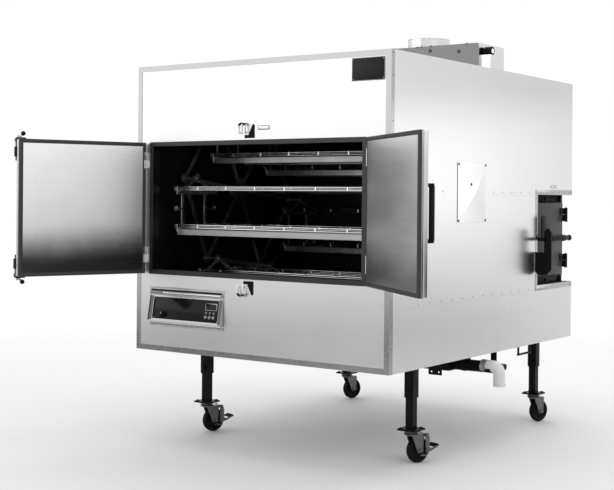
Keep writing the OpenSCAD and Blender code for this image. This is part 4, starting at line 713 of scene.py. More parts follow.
# left door latches: body, overhanging strike, ball lever
latchFacts = {
    "edge": 689, "back": -28, "pivots": (("upper", 1078, 1), ("lower", 405, -1)),
    "bodyDepth": 25, "bodyWidth": 49, "bodySpan": (103, 13), "baseWidth": 62, "baseShort": 6,
    "strikeSpan": (83, 33), "strikeOver": 5, "bolts": (90, 48), "boltIn": 36, "pivotIn": 10,
    "disc": 12, "discOut": 7.5, "arms": ((135, 38), (112, 27)), "armHalf": 5, "lever": 48, "ball": 12,
}
place = doorPlace("left")
edge, back, deep = latchFacts["edge"], latchFacts["back"], latchFacts["bodyDepth"]
bm = bmesh.new()
for which, z, way in latchFacts["pivots"]:
    under, over = latchFacts["bodySpan"]
    bodyLow, bodyHigh = sorted((z - under * way, z + over * way))
    addBox(bm, (edge - latchFacts["bodyWidth"], back - deep, bodyLow), (edge - 1, back, bodyHigh), 3, 3)
    short = latchFacts["baseShort"]
    addBox(bm, (edge - latchFacts["baseWidth"], back - 3, bodyLow + short), (edge - 1, back, bodyHigh - short), 0.8)
    strikeLow, strikeHigh = sorted(z - down * way for down in latchFacts["strikeSpan"])
    addBox(bm, (edge - 2, back - deep, strikeLow), (edge + latchFacts["strikeOver"], back - 5, strikeHigh), 1.6)
    for down in latchFacts["bolts"]:
        addHex(bm, (edge - latchFacts["boltIn"], back - deep, z - down * way), (0, -1, 0), 8, 3)
finishPiece("latchBodies", bm, "blackPaint", "left_door", ("left_door_hardware",), place)
x, y = edge - latchFacts["pivotIn"], back - deep - 1
discY, half = y - latchFacts["discOut"], latchFacts["armHalf"]
reach = latchFacts["lever"] * math.cos(math.radians(45))
for which, z, way in latchFacts["pivots"]:
    bm = bmesh.new()
    addRod(bm, (x, discY, z), (x, y - 0.5, z), latchFacts["disc"], 28, bevel=0.9)
    addHex(bm, (x, discY, z), (0, -1, 0), 11, 3)
    for angle, length in latchFacts["arms"]:
        turn = Matrix.Translation((x, 0, z)) @ Matrix.Rotation(-math.radians(angle * way), 4, "Y")
        addBox(bm, (4, y - 7, -half), (length, y - 2, half), 1.2, 2, turn)
    finishPiece(which + "LatchLever", bm, "leverSteel", which + "_latch", (which + "_latch",), place)
    bm = bmesh.new()
    bmesh.ops.create_uvsphere(bm, u_segments=28, v_segments=16, radius=latchFacts["ball"],
                              matrix=Matrix.Translation((x - reach, y - 4.5, z + way * reach)))
    finishPiece(which + "LatchBall", bm, "blackGloss", which + "_latch", (), place)
print("doors dressed")

# hanging carriers: flat end frames, folded angle beams, two wire racks
carrierFacts = {
    "count": 6, "leftFrame": 170, "rightFrame": 1384, "frame": 8, "half": 161, "drop": 303, "beam": 30,
    "hub": (10.1, 24), "arm": (20, 137), "armDrop": 68, "levels": (68, 267), "middle": 165, "bars": (-115, 67),
    "stop": 22, "stopOut": 14, "stopThick": 5, "rackDepth": 305, "wire": 2.4, "railHeight": 15.6, "middleRail": 7.8,
    "longWires": 11, "longWire": 1.9, "crossWires": 24, "crossWire": 2.4,
    "clips": (-468.5, -281, -93.5, 93.5, 281, 468.5), "clipHalf": 4,
}


def makeCarrierFrames(bm, c):
    half, t, thick = c["half"], c["frame"], c["stopThick"]
    upper, lower = c["levels"]
    inner, outer = c["hub"]
    armStart, armEnd = c["arm"]
    slant = math.atan2(c["armDrop"], half - 40)
    for x, inward in ((c["leftFrame"], 1), (c["rightFrame"], -1)):
        stopStart = x - c["stopOut"] if inward > 0 else x
        addSpin(bm, [(inner, 0), (outer, 0), (outer, t), (inner, t), (inner, 0)], (x, 0, 0), (1, 0, 0), 28)
        for angle in (slant - math.pi, -slant):
            turn = Matrix.Translation((x, 0, 0)) @ Matrix.Rotation(angle, 4, "X")
            addBox(bm, (0.5, armStart, -9), (t - 0.5, armEnd, 9), 0.8, 1, turn)
        for level in c["levels"]:
            addBox(bm, (x, -half, -level - 20), (x + t, half, -level), 0.8, 1)
            for y in (-half, half - thick):  # upturned stops that hold the rack
                addBox(bm, (stopStart, y, -level - 2), (stopStart + c["stop"], y + thick, c["stop"] - level), 1.2, 1)
            shelfRoot = x + (t if inward > 0 else 0)
            near, far = sorted((shelfRoot, shelfRoot + 18 * inward))
            addBox(bm, (near, -half + 6, -level - 4), (far, half - 6, -level), 0.6, 1)
        for y in c["bars"]:
            addBox(bm, (x + 0.6, y - 10, -lower - 2), (x + t - 0.6, y + 10, -upper - 2), 0.8, 1)
        for start, end in ((-half, c["bars"][0] + 6), (c["bars"][1] - 6, half)):
            addBox(bm, (x, start, -c["middle"] - 6), (x + t, end, -c["middle"] + 6), 0.8, 1)
        for y in (-half, half - thick):
            addBox(bm, (stopStart, y, -c["middle"] - 8), (stopStart + c["stop"], y + thick, -c["middle"] + 14), 1.2, 1)
        for y in (-half + 8, half - 8 - c["beam"]):
            addBox(bm, (x, y, -c["drop"]), (x + t, y + c["beam"], -lower - 15), 0.8, 1)


def makeCarrier(number):
    c = carrierFacts
    axis = Vector(jointFacts["carrier_%d_swing" % number]["pos_m"])
    place = Matrix.Translation((cornerX, axis.y, axis.z)) @ Matrix.Diagonal((mm, mm, mm, 1))
    body = "carrier_%d" % number
    half, t, drop, beam = c["half"], c["frame"], c["drop"], c["beam"]
    bm = bmesh.new()
    makeCarrierFrames(bm, c)
    finishPiece("carrierFrames%d" % number, bm, "carrierSteel", body, (body,), place)
    # the two angle beams, folded from one strip each
    bm = bmesh.new()
    x0, x1 = c["leftFrame"] + t, c["rightFrame"]
    for y, way in ((-half + 8, 1), (half - 8, -1)):
        outline = [(0, beam), (0, 2), (2, 0), (beam, 0), (beam, 3.5), (4.6, 3.5), (3.5, 4.6), (3.5, beam)]
        addPlate(bm, [(x0, y + way * across, up - drop) for across, up in outline], x1 - x0, (1, 0, 0))
    finishPiece("carrierBeams%d" % number, bm, "beamSteel", body, (), place)
    # racks of round wire: bright rails, darker floor wires
    bm, bmFloor = bmesh.new(), bmesh.new()
    r, top = c["wire"], c["railHeight"]
    x0, x1 = c["leftFrame"] + t + 3, c["rightFrame"] - 3
    edge = c["rackDepth"] / 2 - r
    for level in c["levels"]:
        base = -level + r + 0.4
        for height, size in ((0, r), (c["middleRail"], r * 0.6), (top, r)):
            for y in (-edge, edge):
                addRod(bm, (x0, y, base + height), (x1, y, base + height), size, 8)
        for height in (0, top):
            for x in (x0, x1):
                addRod(bm, (x, -edge, base + height), (x, edge, base + height), r, 8)
        for step in range(c["longWires"]):
            y = -edge + 2 * edge * (step + 1) / (c["longWires"] + 1)
            addRod(bmFloor, (x0, y, base), (x1, y, base), c["longWire"], 6)
        for step in range(1, c["crossWires"] + 1):
            x = x0 + (x1 - x0) * step / (c["crossWires"] + 1)
            addRod(bmFloor, (x, -edge, base - 0.6), (x, edge, base - 0.6), c["crossWire"], 6)
    finishPiece("carrierRacks%d" % number, bm, "wireSteel", body, (), place)
    finishPiece("carrierRackFloors%d" % number, bmFloor, "rackSteel", body, (), place)
    bm = bmesh.new()
    for level in c["levels"]:
        for step in c["clips"]:
            x = (c["leftFrame"] + c["rightFrame"] + t) / 2 + step
            for way in (-1, 1):
                inner, outer = sorted((way * (edge + 2.2), way * (edge + 3.8)))
                addBox(bm, (x - c["clipHalf"], inner, -level + 1), (x + c["clipHalf"], outer, -level + 20.5), 0.5, 1)
    finishPiece("carrierClips%d" % number, bm, "clipSteel", body, (), place)


for number in range(1, carrierFacts["count"] + 1):
    makeCarrier(number)
print("carriers hung:", carrierFacts["count"])

# control panel: folded frame, black faceplate, window, lamps, caps and knob
panelFacts = {
    "left": 98, "width": 492, "low": 157, "height": 134, "out": 28, "head": 3, "in": 5,
    "flangeTop": 42, "flangeLow": 26, "flangeSide": 4, "lip": 6, "faceInsets": (30, 22, 14, 10),
    "sillOut": 12, "upperSill": (94, 13, 11, 17), "lowerSill": (20, 12, 8, 3), "gap": (6, 20, 30),
    "screwIn": 30, "screwOver": 29, "screwUnder": 15, "screwRadius": 3.2, "cornerIn": 7, "cornerRadius": 2.4,
    "cheeks": ((9, 27), (472, 490)), "knob": (194, 36), "knobRibs": 20, "caps": (485, 510, 535), "capRow": 40,
    "lampRow": 62, "lampRadius": 4.6, "lampFlat": 0.62, "window": (110, 40, 78, 108), "bezel": 3,
    "lampRing": [(5, 0), (6.2, 0), (6.2, 1.6), (5, 2.2), (5, 0)],
    "capRing": [(6.6, 0), (8.4, 0), (8.4, 1.4), (6.6, 2), (6.6, 0)],
    "cap": [(0, -16), (6, -16), (6, 3.6), (5.2, 4.6), (4.6, 4.8), (3.8, 4.2), (0, 3.9)],
    "knobShape": [(0, -17), (5, -17), (5, 0.6), (17, 0.6), (17, 4), (14.6, 6.2), (13.2, 14.6), (12, 15.4), (0, 15.5)],
}
cabPlace = Matrix.Translation((cornerX, cornerY, cornerZ)) @ Matrix.Diagonal((mm, mm, mm, 1))
lean, tall = panelFacts["out"] - panelFacts["head"], panelFacts["height"]
tilt, slope = math.atan2(lean, tall), math.hypot(lean, tall)
panelPlace = (Matrix.Translation(cab(0, -panelFacts["out"], panelFacts["low"]))
              @ Matrix.Rotation(math.pi / 2 - tilt, 4, "X") @ Matrix.Diagonal((mm, mm, mm, 1)))
left, right = panelFacts["left"], panelFacts["left"] + panelFacts["width"]
low, high = panelFacts["low"], panelFacts["low"] + panelFacts["height"]
frameLow, frameHigh = low - panelFacts["flangeLow"], high + panelFacts["flangeTop"]
margin, lip, depth = panelFacts["flangeSide"], panelFacts["lip"], -panelFacts["in"]
bm = bmesh.new()
for bottom, top in ((high, frameHigh), (frameLow, low)):
    addBox(bm, (left - margin, -2, bottom), (right + margin, 0, top), 0.6)
for x in (left - margin, right):
    addBox(bm, (x, -2, low - 1), (x + margin, 0, high + 1), 0.6)
for bottom, top in ((frameHigh - lip, frameHigh), (frameLow, frameLow + lip)):
    addBox(bm, (left - margin, -5, bottom), (right + margin, -1.5, top), 1.2)
finishPiece("panelFrame", bm, "trimSteel", "cabinet", ("control_frame",), cabPlace)
sillOut, inset = panelFacts["sillOut"], panelFacts["screwIn"]
bm = bmesh.new()
nearEnd, farEnd, bottom, top = panelFacts["upperSill"]
addBox(bm, (left + nearEnd, -sillOut, high + bottom), (right - farEnd, -1.5, high + top), 2.2, 3)
nearEnd, farEnd, bottom, top = panelFacts["lowerSill"]
addBox(bm, (left + nearEnd, -sillOut, low - bottom), (right - farEnd, -1.5, low - top), 2.0, 3)
finishPiece("panelSills", bm, "clipSteel", "cabinet", (), cabPlace)
# a black strip on the frame just over the upper sill: painted shadow line
ends, bottom, top = panelFacts["gap"]
bm = bmesh.new()
addBox(bm, (left + ends, -2.7, high + bottom), (right - ends, -1.9, high + top), 0.2, 1)
finishPiece("panelShadowLine", bm, "blackPaint", "cabinet", (), cabPlace)
bm = bmesh.new()
for x in (left + inset, (left + right) / 2, right - inset):
    for z in (high + panelFacts["screwOver"], low - panelFacts["screwUnder"]):
        addDome(bm, (x, -2, z), (0, -1, 0), panelFacts["screwRadius"])
finishPiece("panelScrews", bm, "darkRivet", "cabinet", (), cabPlace)
faceLeft, faceRight, faceLow, faceHigh = panelFacts["faceInsets"]
bm = bmesh.new()
addBox(bm, (left + faceLeft, faceLow, depth - 2), (right - faceRight, slope - faceHigh, depth), 0.4)
finishPiece("panelFace", bm, "blackGloss", "cabinet", ("control_faceplate",), panelPlace)
windowLeft, windowRight, windowLow, windowHigh = panelFacts["window"]
bezel, inset = panelFacts["bezel"], panelFacts["cornerIn"]
bm = bmesh.new()
for x in (left + faceLeft + inset, right - faceRight - inset):
    for y in (faceLow + inset, slope - faceHigh - inset):
        addDome(bm, (x, y, depth), (0, 0, 1), panelFacts["cornerRadius"])
addBox(bm, (right - windowLeft - bezel, windowLow - bezel, depth - 1),
       (right - windowRight + bezel, windowHigh + bezel, depth + 1.2), 0.8)
for x in panelFacts["caps"]:
    addSpin(bm, panelFacts["lampRing"], (x, panelFacts["lampRow"], depth), (0, 0, 1), 24)
    addSpin(bm, panelFacts["capRing"], (x, panelFacts["capRow"], depth), (0, 0, 1), 24)
finishPiece("panelBezels", bm, "trimSteel", "cabinet", (), panelPlace)
bm = bmesh.new()
for start, end in panelFacts["cheeks"]:
    addBox(bm, (left + start, 5, -0.4), (left + end, slope - 5, 0.5), 0.2, 1)
finishPiece("panelCheeks", bm, "cheekSteel", "cabinet", (), panelPlace)
bm = bmesh.new()
addBox(bm, (left + 1, 3, -0.4), (left + 8.5, slope - 3, 0.7), 0.2, 1)
finishPiece("panelEdge", bm, "blackPaint", "cabinet", (), panelPlace)
bm = bmesh.new()
addBox(bm, (right - windowLeft, windowLow, depth), (right - windowRight, windowHigh, depth + 2), 0.5)
finishPiece("panelWindow", bm, "windowDark", "cabinet", (), panelPlace)
bm = bmesh.new()
for x in panelFacts["caps"]:
    lampPlace = Matrix.Translation((x, panelFacts["lampRow"], depth))
    bmesh.ops.create_uvsphere(bm, u_segments=20, v_segments=10, radius=panelFacts["lampRadius"],
                              matrix=lampPlace @ Matrix.Diagonal((1, 1, panelFacts["lampFlat"], 1)))
finishPiece("panelLamps", bm, "lampRed", "cabinet", ("panel_lights",), panelPlace)
for number, x in enumerate(panelFacts["caps"], 1):
    bm = bmesh.new()
    addSpin(bm, panelFacts["cap"], (x, panelFacts["capRow"], depth), (0, 0, 1), 28)
    finishPiece("buttonCap%d" % number, bm, "capGrey", "button_%d" % number, ("button_%d" % number,), panelPlace)
bm = bmesh.new()
knobX, knobY = panelFacts["knob"]
addSpin(bm, panelFacts["knobShape"], (knobX, knobY, depth), (0, 0, 1), 40)
for step in range(panelFacts["knobRibs"]):
    angle = math.tau * step / panelFacts["knobRibs"]
    turn = Matrix.Translation((knobX, knobY, depth)) @ Matrix.Rotation(angle, 4, "Z")
    addBox(bm, (13.2, -0.9, 5), (15.1, 0.9, 13.6), 0.3, 1, turn)
finishPiece("knobBody", bm, "blackMatte", "control_knob", ("control_knob",), panelPlace)
bm = bmesh.new()
addBox(bm, (knobX - 1, knobY + 2, depth + 15.2), (knobX + 1, knobY + 13, depth + 16.2), 0.3)
finishPiece("knobMark", bm, "pipeWhite", "control_knob", (), panelPlace)
print("control panel dressed")

# latch keepers over and under the doorway: dark hook plate and bright strap, the strap's arch top drawn black as
# painted shade
keeperFacts = {"left": 736, "width": 41, "reach": 77, "rows": ((1086, 1), (397, -1)), "strap": (691, 729),
               "strapOut": 24, "strapHalf": 2.6, "strapFoot": 36, "archFoot": 62, "archRise": 20, "archSteps": 8,
               "shadeOver": 68}
bmHooks, bmStraps = bmesh.new(), bmesh.new()
left, width, reach = keeperFacts["left"], keeperFacts["width"], keeperFacts["reach"]
for z, way in keeperFacts["rows"]:
    outline = [(left + 7, 8), (left + width, 8), (left + width - 1, 50), (left + width, reach - 8),
               (left + width - 5, reach), (left + 30, reach - 3), (left + 15, reach - 34), (left + 7, 32)]
    addPlate(bmHooks, [(x, -4, z + way * up) for x, up in outline], 4.2, (0, 1, 0), 0.8)
    baseLow, baseHigh = sorted((z + 8 * way, z + 24 * way))
    addBox(bmHooks, (left - 19, -3.6, baseLow), (left + width - 3, 0.2, baseHigh), 0.8)
    for x, up in ((left + 16, 16), (left + 33, 16), (left + 32, reach - 20)):
        addHex(bmHooks, (x, -4, z + way * up), (0, -1, 0), 7, 3)
    # the strap is one bent strip: up from the hook, over and back to the casing
    x0, x1 = keeperFacts["strap"]
    arch = []
    for step in range(keeperFacts["archSteps"] + 1):
        angle = math.pi * step / keeperFacts["archSteps"]
        arch.append((x0 + (x1 - x0) / 2 * (1 - math.cos(angle)),
                     keeperFacts["archFoot"] + keeperFacts["archRise"] * math.sin(angle)))
    route = [(x0, keeperFacts["strapFoot"])] + arch + [(x1, keeperFacts["strapFoot"])]
    for (xa, ua), (xb, ub) in zip(route, route[1:]):
        across = Vector((xb - xa, 0, ub - ua)).normalized()
        outward = Vector((across.z, 0, -across.x)) * keeperFacts["strapHalf"]
        start, end = Vector((xa, 0, ua)) - across * 0.4, Vector((xb, 0, ub)) + across * 0.4  # links overlap a little
        outline = [start + outward, start - outward, end - outward, end + outward]
        outline = [(p.x, -keeperFacts["strapOut"], z + way * p.z) for p in outline]
        # links of the arch high enough go with the black hook plate: painted shade on the strap's arch
        addPlate(bmHooks if min(ua, ub) > keeperFacts["shadeOver"] else bmStraps, outline, 15, (0, 1, 0))
    for x in (x0, x1):
        footLow, footHigh = sorted((z + way * 30, z + way * 40))
        addBox(bmStraps, (x - 4.5, -keeperFacts["strapOut"] + 2, footLow), (x + 4.5, 0.2, footHigh), 1.2)
finishPiece("keeperHooks", bmHooks, "blackPaint", "cabinet", ("latch_keepers",), cabPlace)
finishPiece("keeperStraps", bmStraps, "clipSteel", "cabinet", (), cabPlace, recalc=True)
print("keepers fixed")

# firebox: mitred trim round the recess, bolted channels, door and latch
fireFacts = {
    "front": 1566, "back": 2035, "low": 323, "high": 829, "side": 1562, "trim": 29, "trimOut": 1.5, "rivetPitch": 84,
    "rivetRun": (1600, 2030), "rivetRise": (380, 800), "rivetRadius": 2.8,
    "doorBack": 1952, "face": 1502, "channel": 42, "channelOut": 28, "channelBolt": 1745, "boltAcross": 15,
    "boltHeight": 8, "lipDeep": 22, "lipOut": 8, "pegs": (452, 700), "pegRadius": 5,
    "doorOut": 1543, "doorGap": 3, "panelInsets": (32, 27, 24),
    "pinX": 1556, "pinY": 1968, "pinRadius": 9, "hinges": (409, 676), "hingeHeight": 78,
    "strap": 62, "strapBolts": (50, 28), "strapBoltAcross": 9, "strapThick": 6,
}
f = fireFacts
front, doorBack, face, doorOut = (f[key] for key in ("front", "doorBack", "face", "doorOut"))
pinX, pinY, low, high, trim = (f[key] for key in ("pinX", "pinY", "low", "high", "trim"))
x0, x1 = f["side"] - 0.2, f["side"] + f["trimOut"]
bm = bmesh.new()
for outside, inside in ((low - trim, low), (high + trim, high)):  # mitred to the upright
    addPlate(bm, [(x0, front - trim + 0.3, outside), (x0, f["back"], outside), (x0, f["back"], inside),
                  (x0, front + 0.3, inside)], x1 - x0, (1, 0, 0), 0.5)
addPlate(bm, [(x0, front - trim, low - trim + 0.3), (x0, front - trim, high + trim - 0.3), (x0, front, high - 0.3),
              (x0, front, low + 0.3)], x1 - x0, (1, 0, 0), 0.5)
finishPiece("fireTrim", bm, "trimSteel", "cabinet", ("firebox_trim",), cabPlace)
bm = bmesh.new()
for y in range(*f["rivetRun"], f["rivetPitch"]):
    for z in (low - trim / 2, high + trim / 2):
        addDome(bm, (x1, y, z), (1, 0, 0), f["rivetRadius"])
for z in range(*f["rivetRise"], f["rivetPitch"]):
    addDome(bm, (x1, front - trim / 2, z), (1, 0, 0), f["rivetRadius"])
finishPiece("fireTrimRivets", bm, "darkRivet", "cabinet", (), cabPlace)
channel, out, lipOut = f["channel"], face + f["channelOut"], f["lipOut"]
bm = bmesh.new()
for bottom, top in ((low, low + channel), (high - channel, high)):
    addBox(bm, (face, front + 1, bottom), (out, doorBack, top), 1.5)
    addHex(bm, (out, f["channelBolt"], (bottom + top) / 2), (1, 0, 0), f["boltAcross"], f["boltHeight"])
    addBox(bm, (out - 1, doorBack - f["lipDeep"], bottom + 4), (out + lipOut, doorBack, top - 4), 1.5)
for z in f["pegs"]:
    addRod(bm, (face, doorBack - 2, z), (out + lipOut, doorBack - 2, z), f["pegRadius"], 16, bevel=0.8)
finishPiece("fireChannels", bm, "blackPaint", "cabinet", (), cabPlace)
refined("firebox_liner", 0.8 * mm)
doorLow, doorHigh = low + channel + f["doorGap"], high - channel - f["doorGap"]
insetFront, insetBack, insetUp = f["panelInsets"]
bm = bmesh.new()
addBox(bm, (face + 1, front + 8, doorLow), (doorOut - 6, doorBack - 3, doorHigh), 2)
addBox(bm, (doorOut - 7, front + 9, doorLow + 1), (doorOut, doorBack - 4, doorHigh - 1), 1.2)
addBox(bm, (doorOut - 1, front + insetFront, doorLow + insetUp),
       (doorOut + 1.6, doorBack - insetBack, doorHigh - insetUp), 1.2)
finishPiece("fireDoorLeaf", bm, "fireDoorPaint", "firebox_door", ("firebox_door",), cabPlace)

# fire latch: pivot disc and nut, heavy bar, upright plate, hook plate with its prong
fireLatch = {
    "x": 1580, "y": 1940, "z": 582, "plate": 1540, "thick": 12, "disc": 16, "nut": 18, "barHalf": 13,
    "barLength": 240, "shankHalf": 9, "shankOut": 50, "stud": 6, "boss": 13,
    "grip": [(0, -172), (9, -170), (12, -150), (19, -108), (20, -84), (15, -40), (11, -16), (0, -14)],
    "upright": [(0, -9), (74, -9), (74, 112), (56, 130), (14, 130), (0, 116)],
    "uprightRivets": ((20, 104), (20, 8), (54, 8)), "uprightThick": 6,
    "hook": [(-15, -180), (3, -198), (53, -198), (81, -168), (81, 40), (66, 60), (52, 60), (39, 44), (39, -72),
             (-15, -72)],
}
x, y, z, plate = (fireLatch[key] for key in ("x", "y", "z", "plate"))
half, tall = f["hingeHeight"] / 2, f["hingeHeight"]
strapOut = doorOut + f["strapThick"]
bm = bmesh.new()
for hinge in f["hinges"]:
    addRod(bm, (pinX, pinY, hinge + half + 0.5), (pinX, pinY, hinge + tall), f["pinRadius"], 28, bevel=1.2)
    addBox(bm, (doorOut - 1, pinY - f["strap"], hinge + half + 1.2), (strapOut, pinY - 2, hinge + tall - 0.6), 1.2)
    for back in f["strapBolts"]:
        addHex(bm, (strapOut, pinY - back, hinge + 1.5 * half), (1, 0, 0), f["strapBoltAcross"], 4)
addRod(bm, (doorOut - 1, y, z), (x - 0.6, y, z), fireLatch["boss"], 28, bevel=1)
addRod(bm, (x - 1, y, z), (x + 15, y, z), fireLatch["stud"], 20)
finishPiece("fireDoorHinges", bm, "blackPaint", "firebox_door", (), cabPlace)
bm = bmesh.new()
for hinge in f["hinges"]:
    addRod(bm, (pinX, pinY, hinge - 3), (pinX, pinY, hinge + half - 0.2), f["pinRadius"], 28, bevel=1.2)
    addDome(bm, (pinX, pinY, hinge + tall + 0.4), (0, 0, 1), 6.2, 4)
finishPiece("fireHingePosts", bm, "blackPaint", "cabinet", (), cabPlace)
bar, barLength, thick, shank = (fireLatch[key] for key in ("barHalf", "barLength", "thick", "shankHalf"))
bm = bmesh.new()
addRod(bm, (x, y, z), (x + thick, y, z), fireLatch["disc"], 32, bevel=1.2)
addHex(bm, (x + thick, y, z), (1, 0, 0), fireLatch["nut"], 9)
addBox(bm, (x + 0.4, y - barLength, z - bar), (x + thick, y, z + bar), 2.4, 3)
addBox(bm, (x + 3, plate - thick, z - shank), (x + 9, y - barLength + 10, z + shank), 1.4)
addSpin(bm, fireLatch["grip"], (x + thick / 2, y, z), (0, 1, 0), 28)
addBox(bm, (x - 1, plate - thick, z - shank), (x + fireLatch["shankOut"], plate, z + shank), 1.4)
addPlate(bm, [(x + 2, front + along, z + up) for along, up in fireLatch["upright"]], fireLatch["uprightThick"],
         (1, 0, 0), 1)
for along, up in fireLatch["uprightRivets"]:
    addDome(bm, (x + 2 + fireLatch["uprightThick"], front + along, z + up), (1, 0, 0), 5, 3)
finishPiece("fireLatchBar", bm, "blackPaint", "firebox_latch", ("firebox_latch",), cabPlace)
bm = bmesh.new()
addPlate(bm, [(x + across, plate, z + up) for across, up in fireLatch["hook"]], thick, (0, -1, 0), 1.6)
finishPiece("fireLatchHook", bm, "blackPaint", "firebox_latch", (), cabPlace)
print("firebox dressed")

# legs: a set bolt in each sleeve, gussets under the flange, bolts through the foot plate
legFacts = {"sleeveHalf": 0.0254, "plateTop": 0.171, "setBolt": 0.017, "setBoltDown": 0.135, "gusset": 0.03,
            "gussetThick": 0.005, "gussetDown": 0.006, "plateBolt": 0.013, "plateBoltOut": 0.036}
half, gusset, thick, boltOut = (legFacts[key] for key in ("sleeveHalf", "gusset", "gussetThick", "plateBoltOut"))
for number in (1, 2, 3, 4):
    leg = Vector(jointFacts[f"caster_{number}_swivel"]["pos_m"])
    bm = bmesh.new()
    addHex(bm, (leg.x, leg.y - half, cornerZ - legFacts["setBoltDown"]), (0, -1, 0), legFacts["setBolt"], 0.010,
           washer=False)
    for across in (-boltOut, boltOut):
        for along in (-boltOut, boltOut):
            addHex(bm, (leg.x + across, leg.y + along, legFacts["plateTop"]), (0, 0, 1), legFacts["plateBolt"], 0.006)
    finishPiece(f"legBolts_{number}", bm, "blackPaint", "cabinet")
    bm = bmesh.new()
    for way in (-1, 1):
        root = Vector((leg.x + way * half, leg.y - thick / 2, cornerZ - legFacts["gussetDown"]))
        addPlate(bm, [root, root + Vector((way * gusset, 0, 0)), root + Vector((0, 0, -gusset))], thick, (0, 1, 0))
    finishPiece(f"legGussets_{number}", bm, "blackPaint", "cabinet")

# casters: spun tread wheel, race dishes, edge ribs and axle nuts on the fork; the front pair has a foot brake
casterFacts = {"radius": 0.0635, "halfWidth": 0.016, "bore": 0.0064, "cheekFace": 0.024, "race": 0.036,
               "raceInner": 0.031, "raceGap": 0.013, "nutAcross": 0.019, "ribRadius": 0.0028, "ribDown": 0.022}


def casterPlace(number, toPlace):
    # x runs from the swivel's axis towards a place on the caster
    swivel = Vector(jointFacts[f"caster_{number}_swivel"]["pos_m"])
    trail = Vector((toPlace.x - swivel.x, toPlace.y - swivel.y))
    turn = Matrix.Rotation(math.atan2(trail.y, trail.x), 4, "Z")
    return Matrix.Translation((swivel.x, swivel.y, 0)) @ turn, trail.length


def makeCaster(number):
    c = casterFacts
    roll = Vector(jointFacts[f"caster_{number}_roll"]["pos_m"])
    place, trail = casterPlace(number, roll)
    wheel, fork = f"caster_wheel_{number}", f"caster_fork_{number}"
    radius, half, bore = c["radius"], c["halfWidth"], c["bore"]
    side = [(bore, half), (0.015, half), (0.018, half * 0.72), (0.043, half * 0.6), (0.047, half * 0.88),
            (0.055, half * 0.98), (radius - 0.004, half * 0.86), (radius - 0.0008, half * 0.5), (radius, half * 0.15)]
    loop = side + [(r, -h) for r, h in reversed(side)] + [side[0]]
    bm = bmesh.new()
    addSpin(bm, loop, (trail, 0, roll.z), (0, 1, 0), 56)
    finishPiece(f"casterTread_{number}", bm, "treadBlack", wheel, (wheel,), place, sharp=30)
    bm = bmesh.new()
    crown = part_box(fork)[1].z
    race, inner = c["race"], c["raceInner"]
    addSpin(bm, [(inner, 0), (race - 0.002, 0), (race, -0.0015), (race - 0.001, -0.0045), (inner, -0.007)],
            (0, 0, crown - 0.001), (0, 0, 1), 36)
    addSpin(bm, [(inner, 0.004), (race - 0.003, 0.0015), (race + 0.001, -0.002), (race - 0.001, -0.0045),
                 (inner, -0.005)], (0, 0, crown - c["raceGap"]), (0, 0, 1), 36)
    for face in (-1, 1):
        flat = face * c["cheekFace"]
        addHex(bm, (trail, flat, roll.z), (0, face, 0), c["nutAcross"], 0.0048, washer=False)
        for topX, lowX in ((-0.010, trail - 0.0145), (trail + 0.0185, trail + 0.0145)):
            addRod(bm, (topX, flat, crown - c["ribDown"]), (lowX, flat, roll.z - 0.010), c["ribRadius"], 8)
    finishPiece(f"casterFittings_{number}", bm, "forkSteel", fork, (), place)


# brake: two bent side plates on the pivot, a wire return spring and a ribbed foot pad
brakeFacts = {
    "outline": [(66, 146), (83, 146), (92, 118), (90, 78), (102, 68), (150, 82), (151, 76), (104, 56), (72, 50),
                (66, 60)],
    "out": 0.0295, "sheet": 0.003, "bolt": (0.076, 0.061), "pin": 0.0055, "springOut": 0.005, "springRadius": 0.0045,
    "spring": [(0.030, 0.040), (0.044, 0.043), (0.058, 0.038), (0.070, 0.040), (0.080, 0.052)],
    "padPlace": (0.123, 0, 0.0735), "padTilt": -0.29, "padLength": 0.031, "ribs": 5, "ribPitch": 0.0055,
}


def makeBrake(number):
    b = brakeFacts
    pivot = Vector(jointFacts[f"brake_{number}_press"]["pos_m"])
    place, trail = casterPlace(number, pivot)
    pedal = f"brake_pedal_{number}"
    out, sheet = b["out"], b["sheet"]
    boltX, boltZ = b["bolt"]
    bm = bmesh.new()
    for face in (-1, 1):
        addPlate(bm, [(x * mm, face * out, z * mm) for x, z in b["outline"]], sheet, (0, face, 0))
        addHex(bm, (boltX, face * (out + sheet), boltZ), (0, face, 0), 0.013, 0.005)
    pinEnd = out + sheet + 0.002
    addRod(bm, (trail, -pinEnd, pivot.z), (trail, pinEnd, pivot.z), b["pin"], 14, bevel=0.001)
    addTube(bm, [(x, -out - b["springOut"], z) for x, z in b["spring"]], b["springRadius"], 8)
    finishPiece(f"brakeLever_{number}", bm, "forkSteel", pedal, (pedal,), place)
    bm = bmesh.new()
    tilt = Matrix.Translation(b["padPlace"]) @ Matrix.Rotation(b["padTilt"], 4, "Y")
    addBox(bm, (0, -out, -0.002), (b["padLength"], out, 0.0025), 0.0012, turn=tilt)
    for rib in range(b["ribs"]):
        start = 0.004 + rib * b["ribPitch"]
        addBox(bm, (start, -out + 0.004, 0.0022), (start + 0.0024, out - 0.004, 0.0042), 0.0006, 1, turn=tilt)
    addBox(bm, (b["padLength"] - 0.004, -out, -0.009), (b["padLength"], out, 0.0025), 0.0012, turn=tilt)
    finishPiece(f"brakeTread_{number}", bm, "treadBlack", pedal, (), place)


for number in (1, 2, 3, 4):
    makeCaster(number)
for number in (1, 2):
    makeBrake(number)
print("casters fitted: 4, brakes: 2")

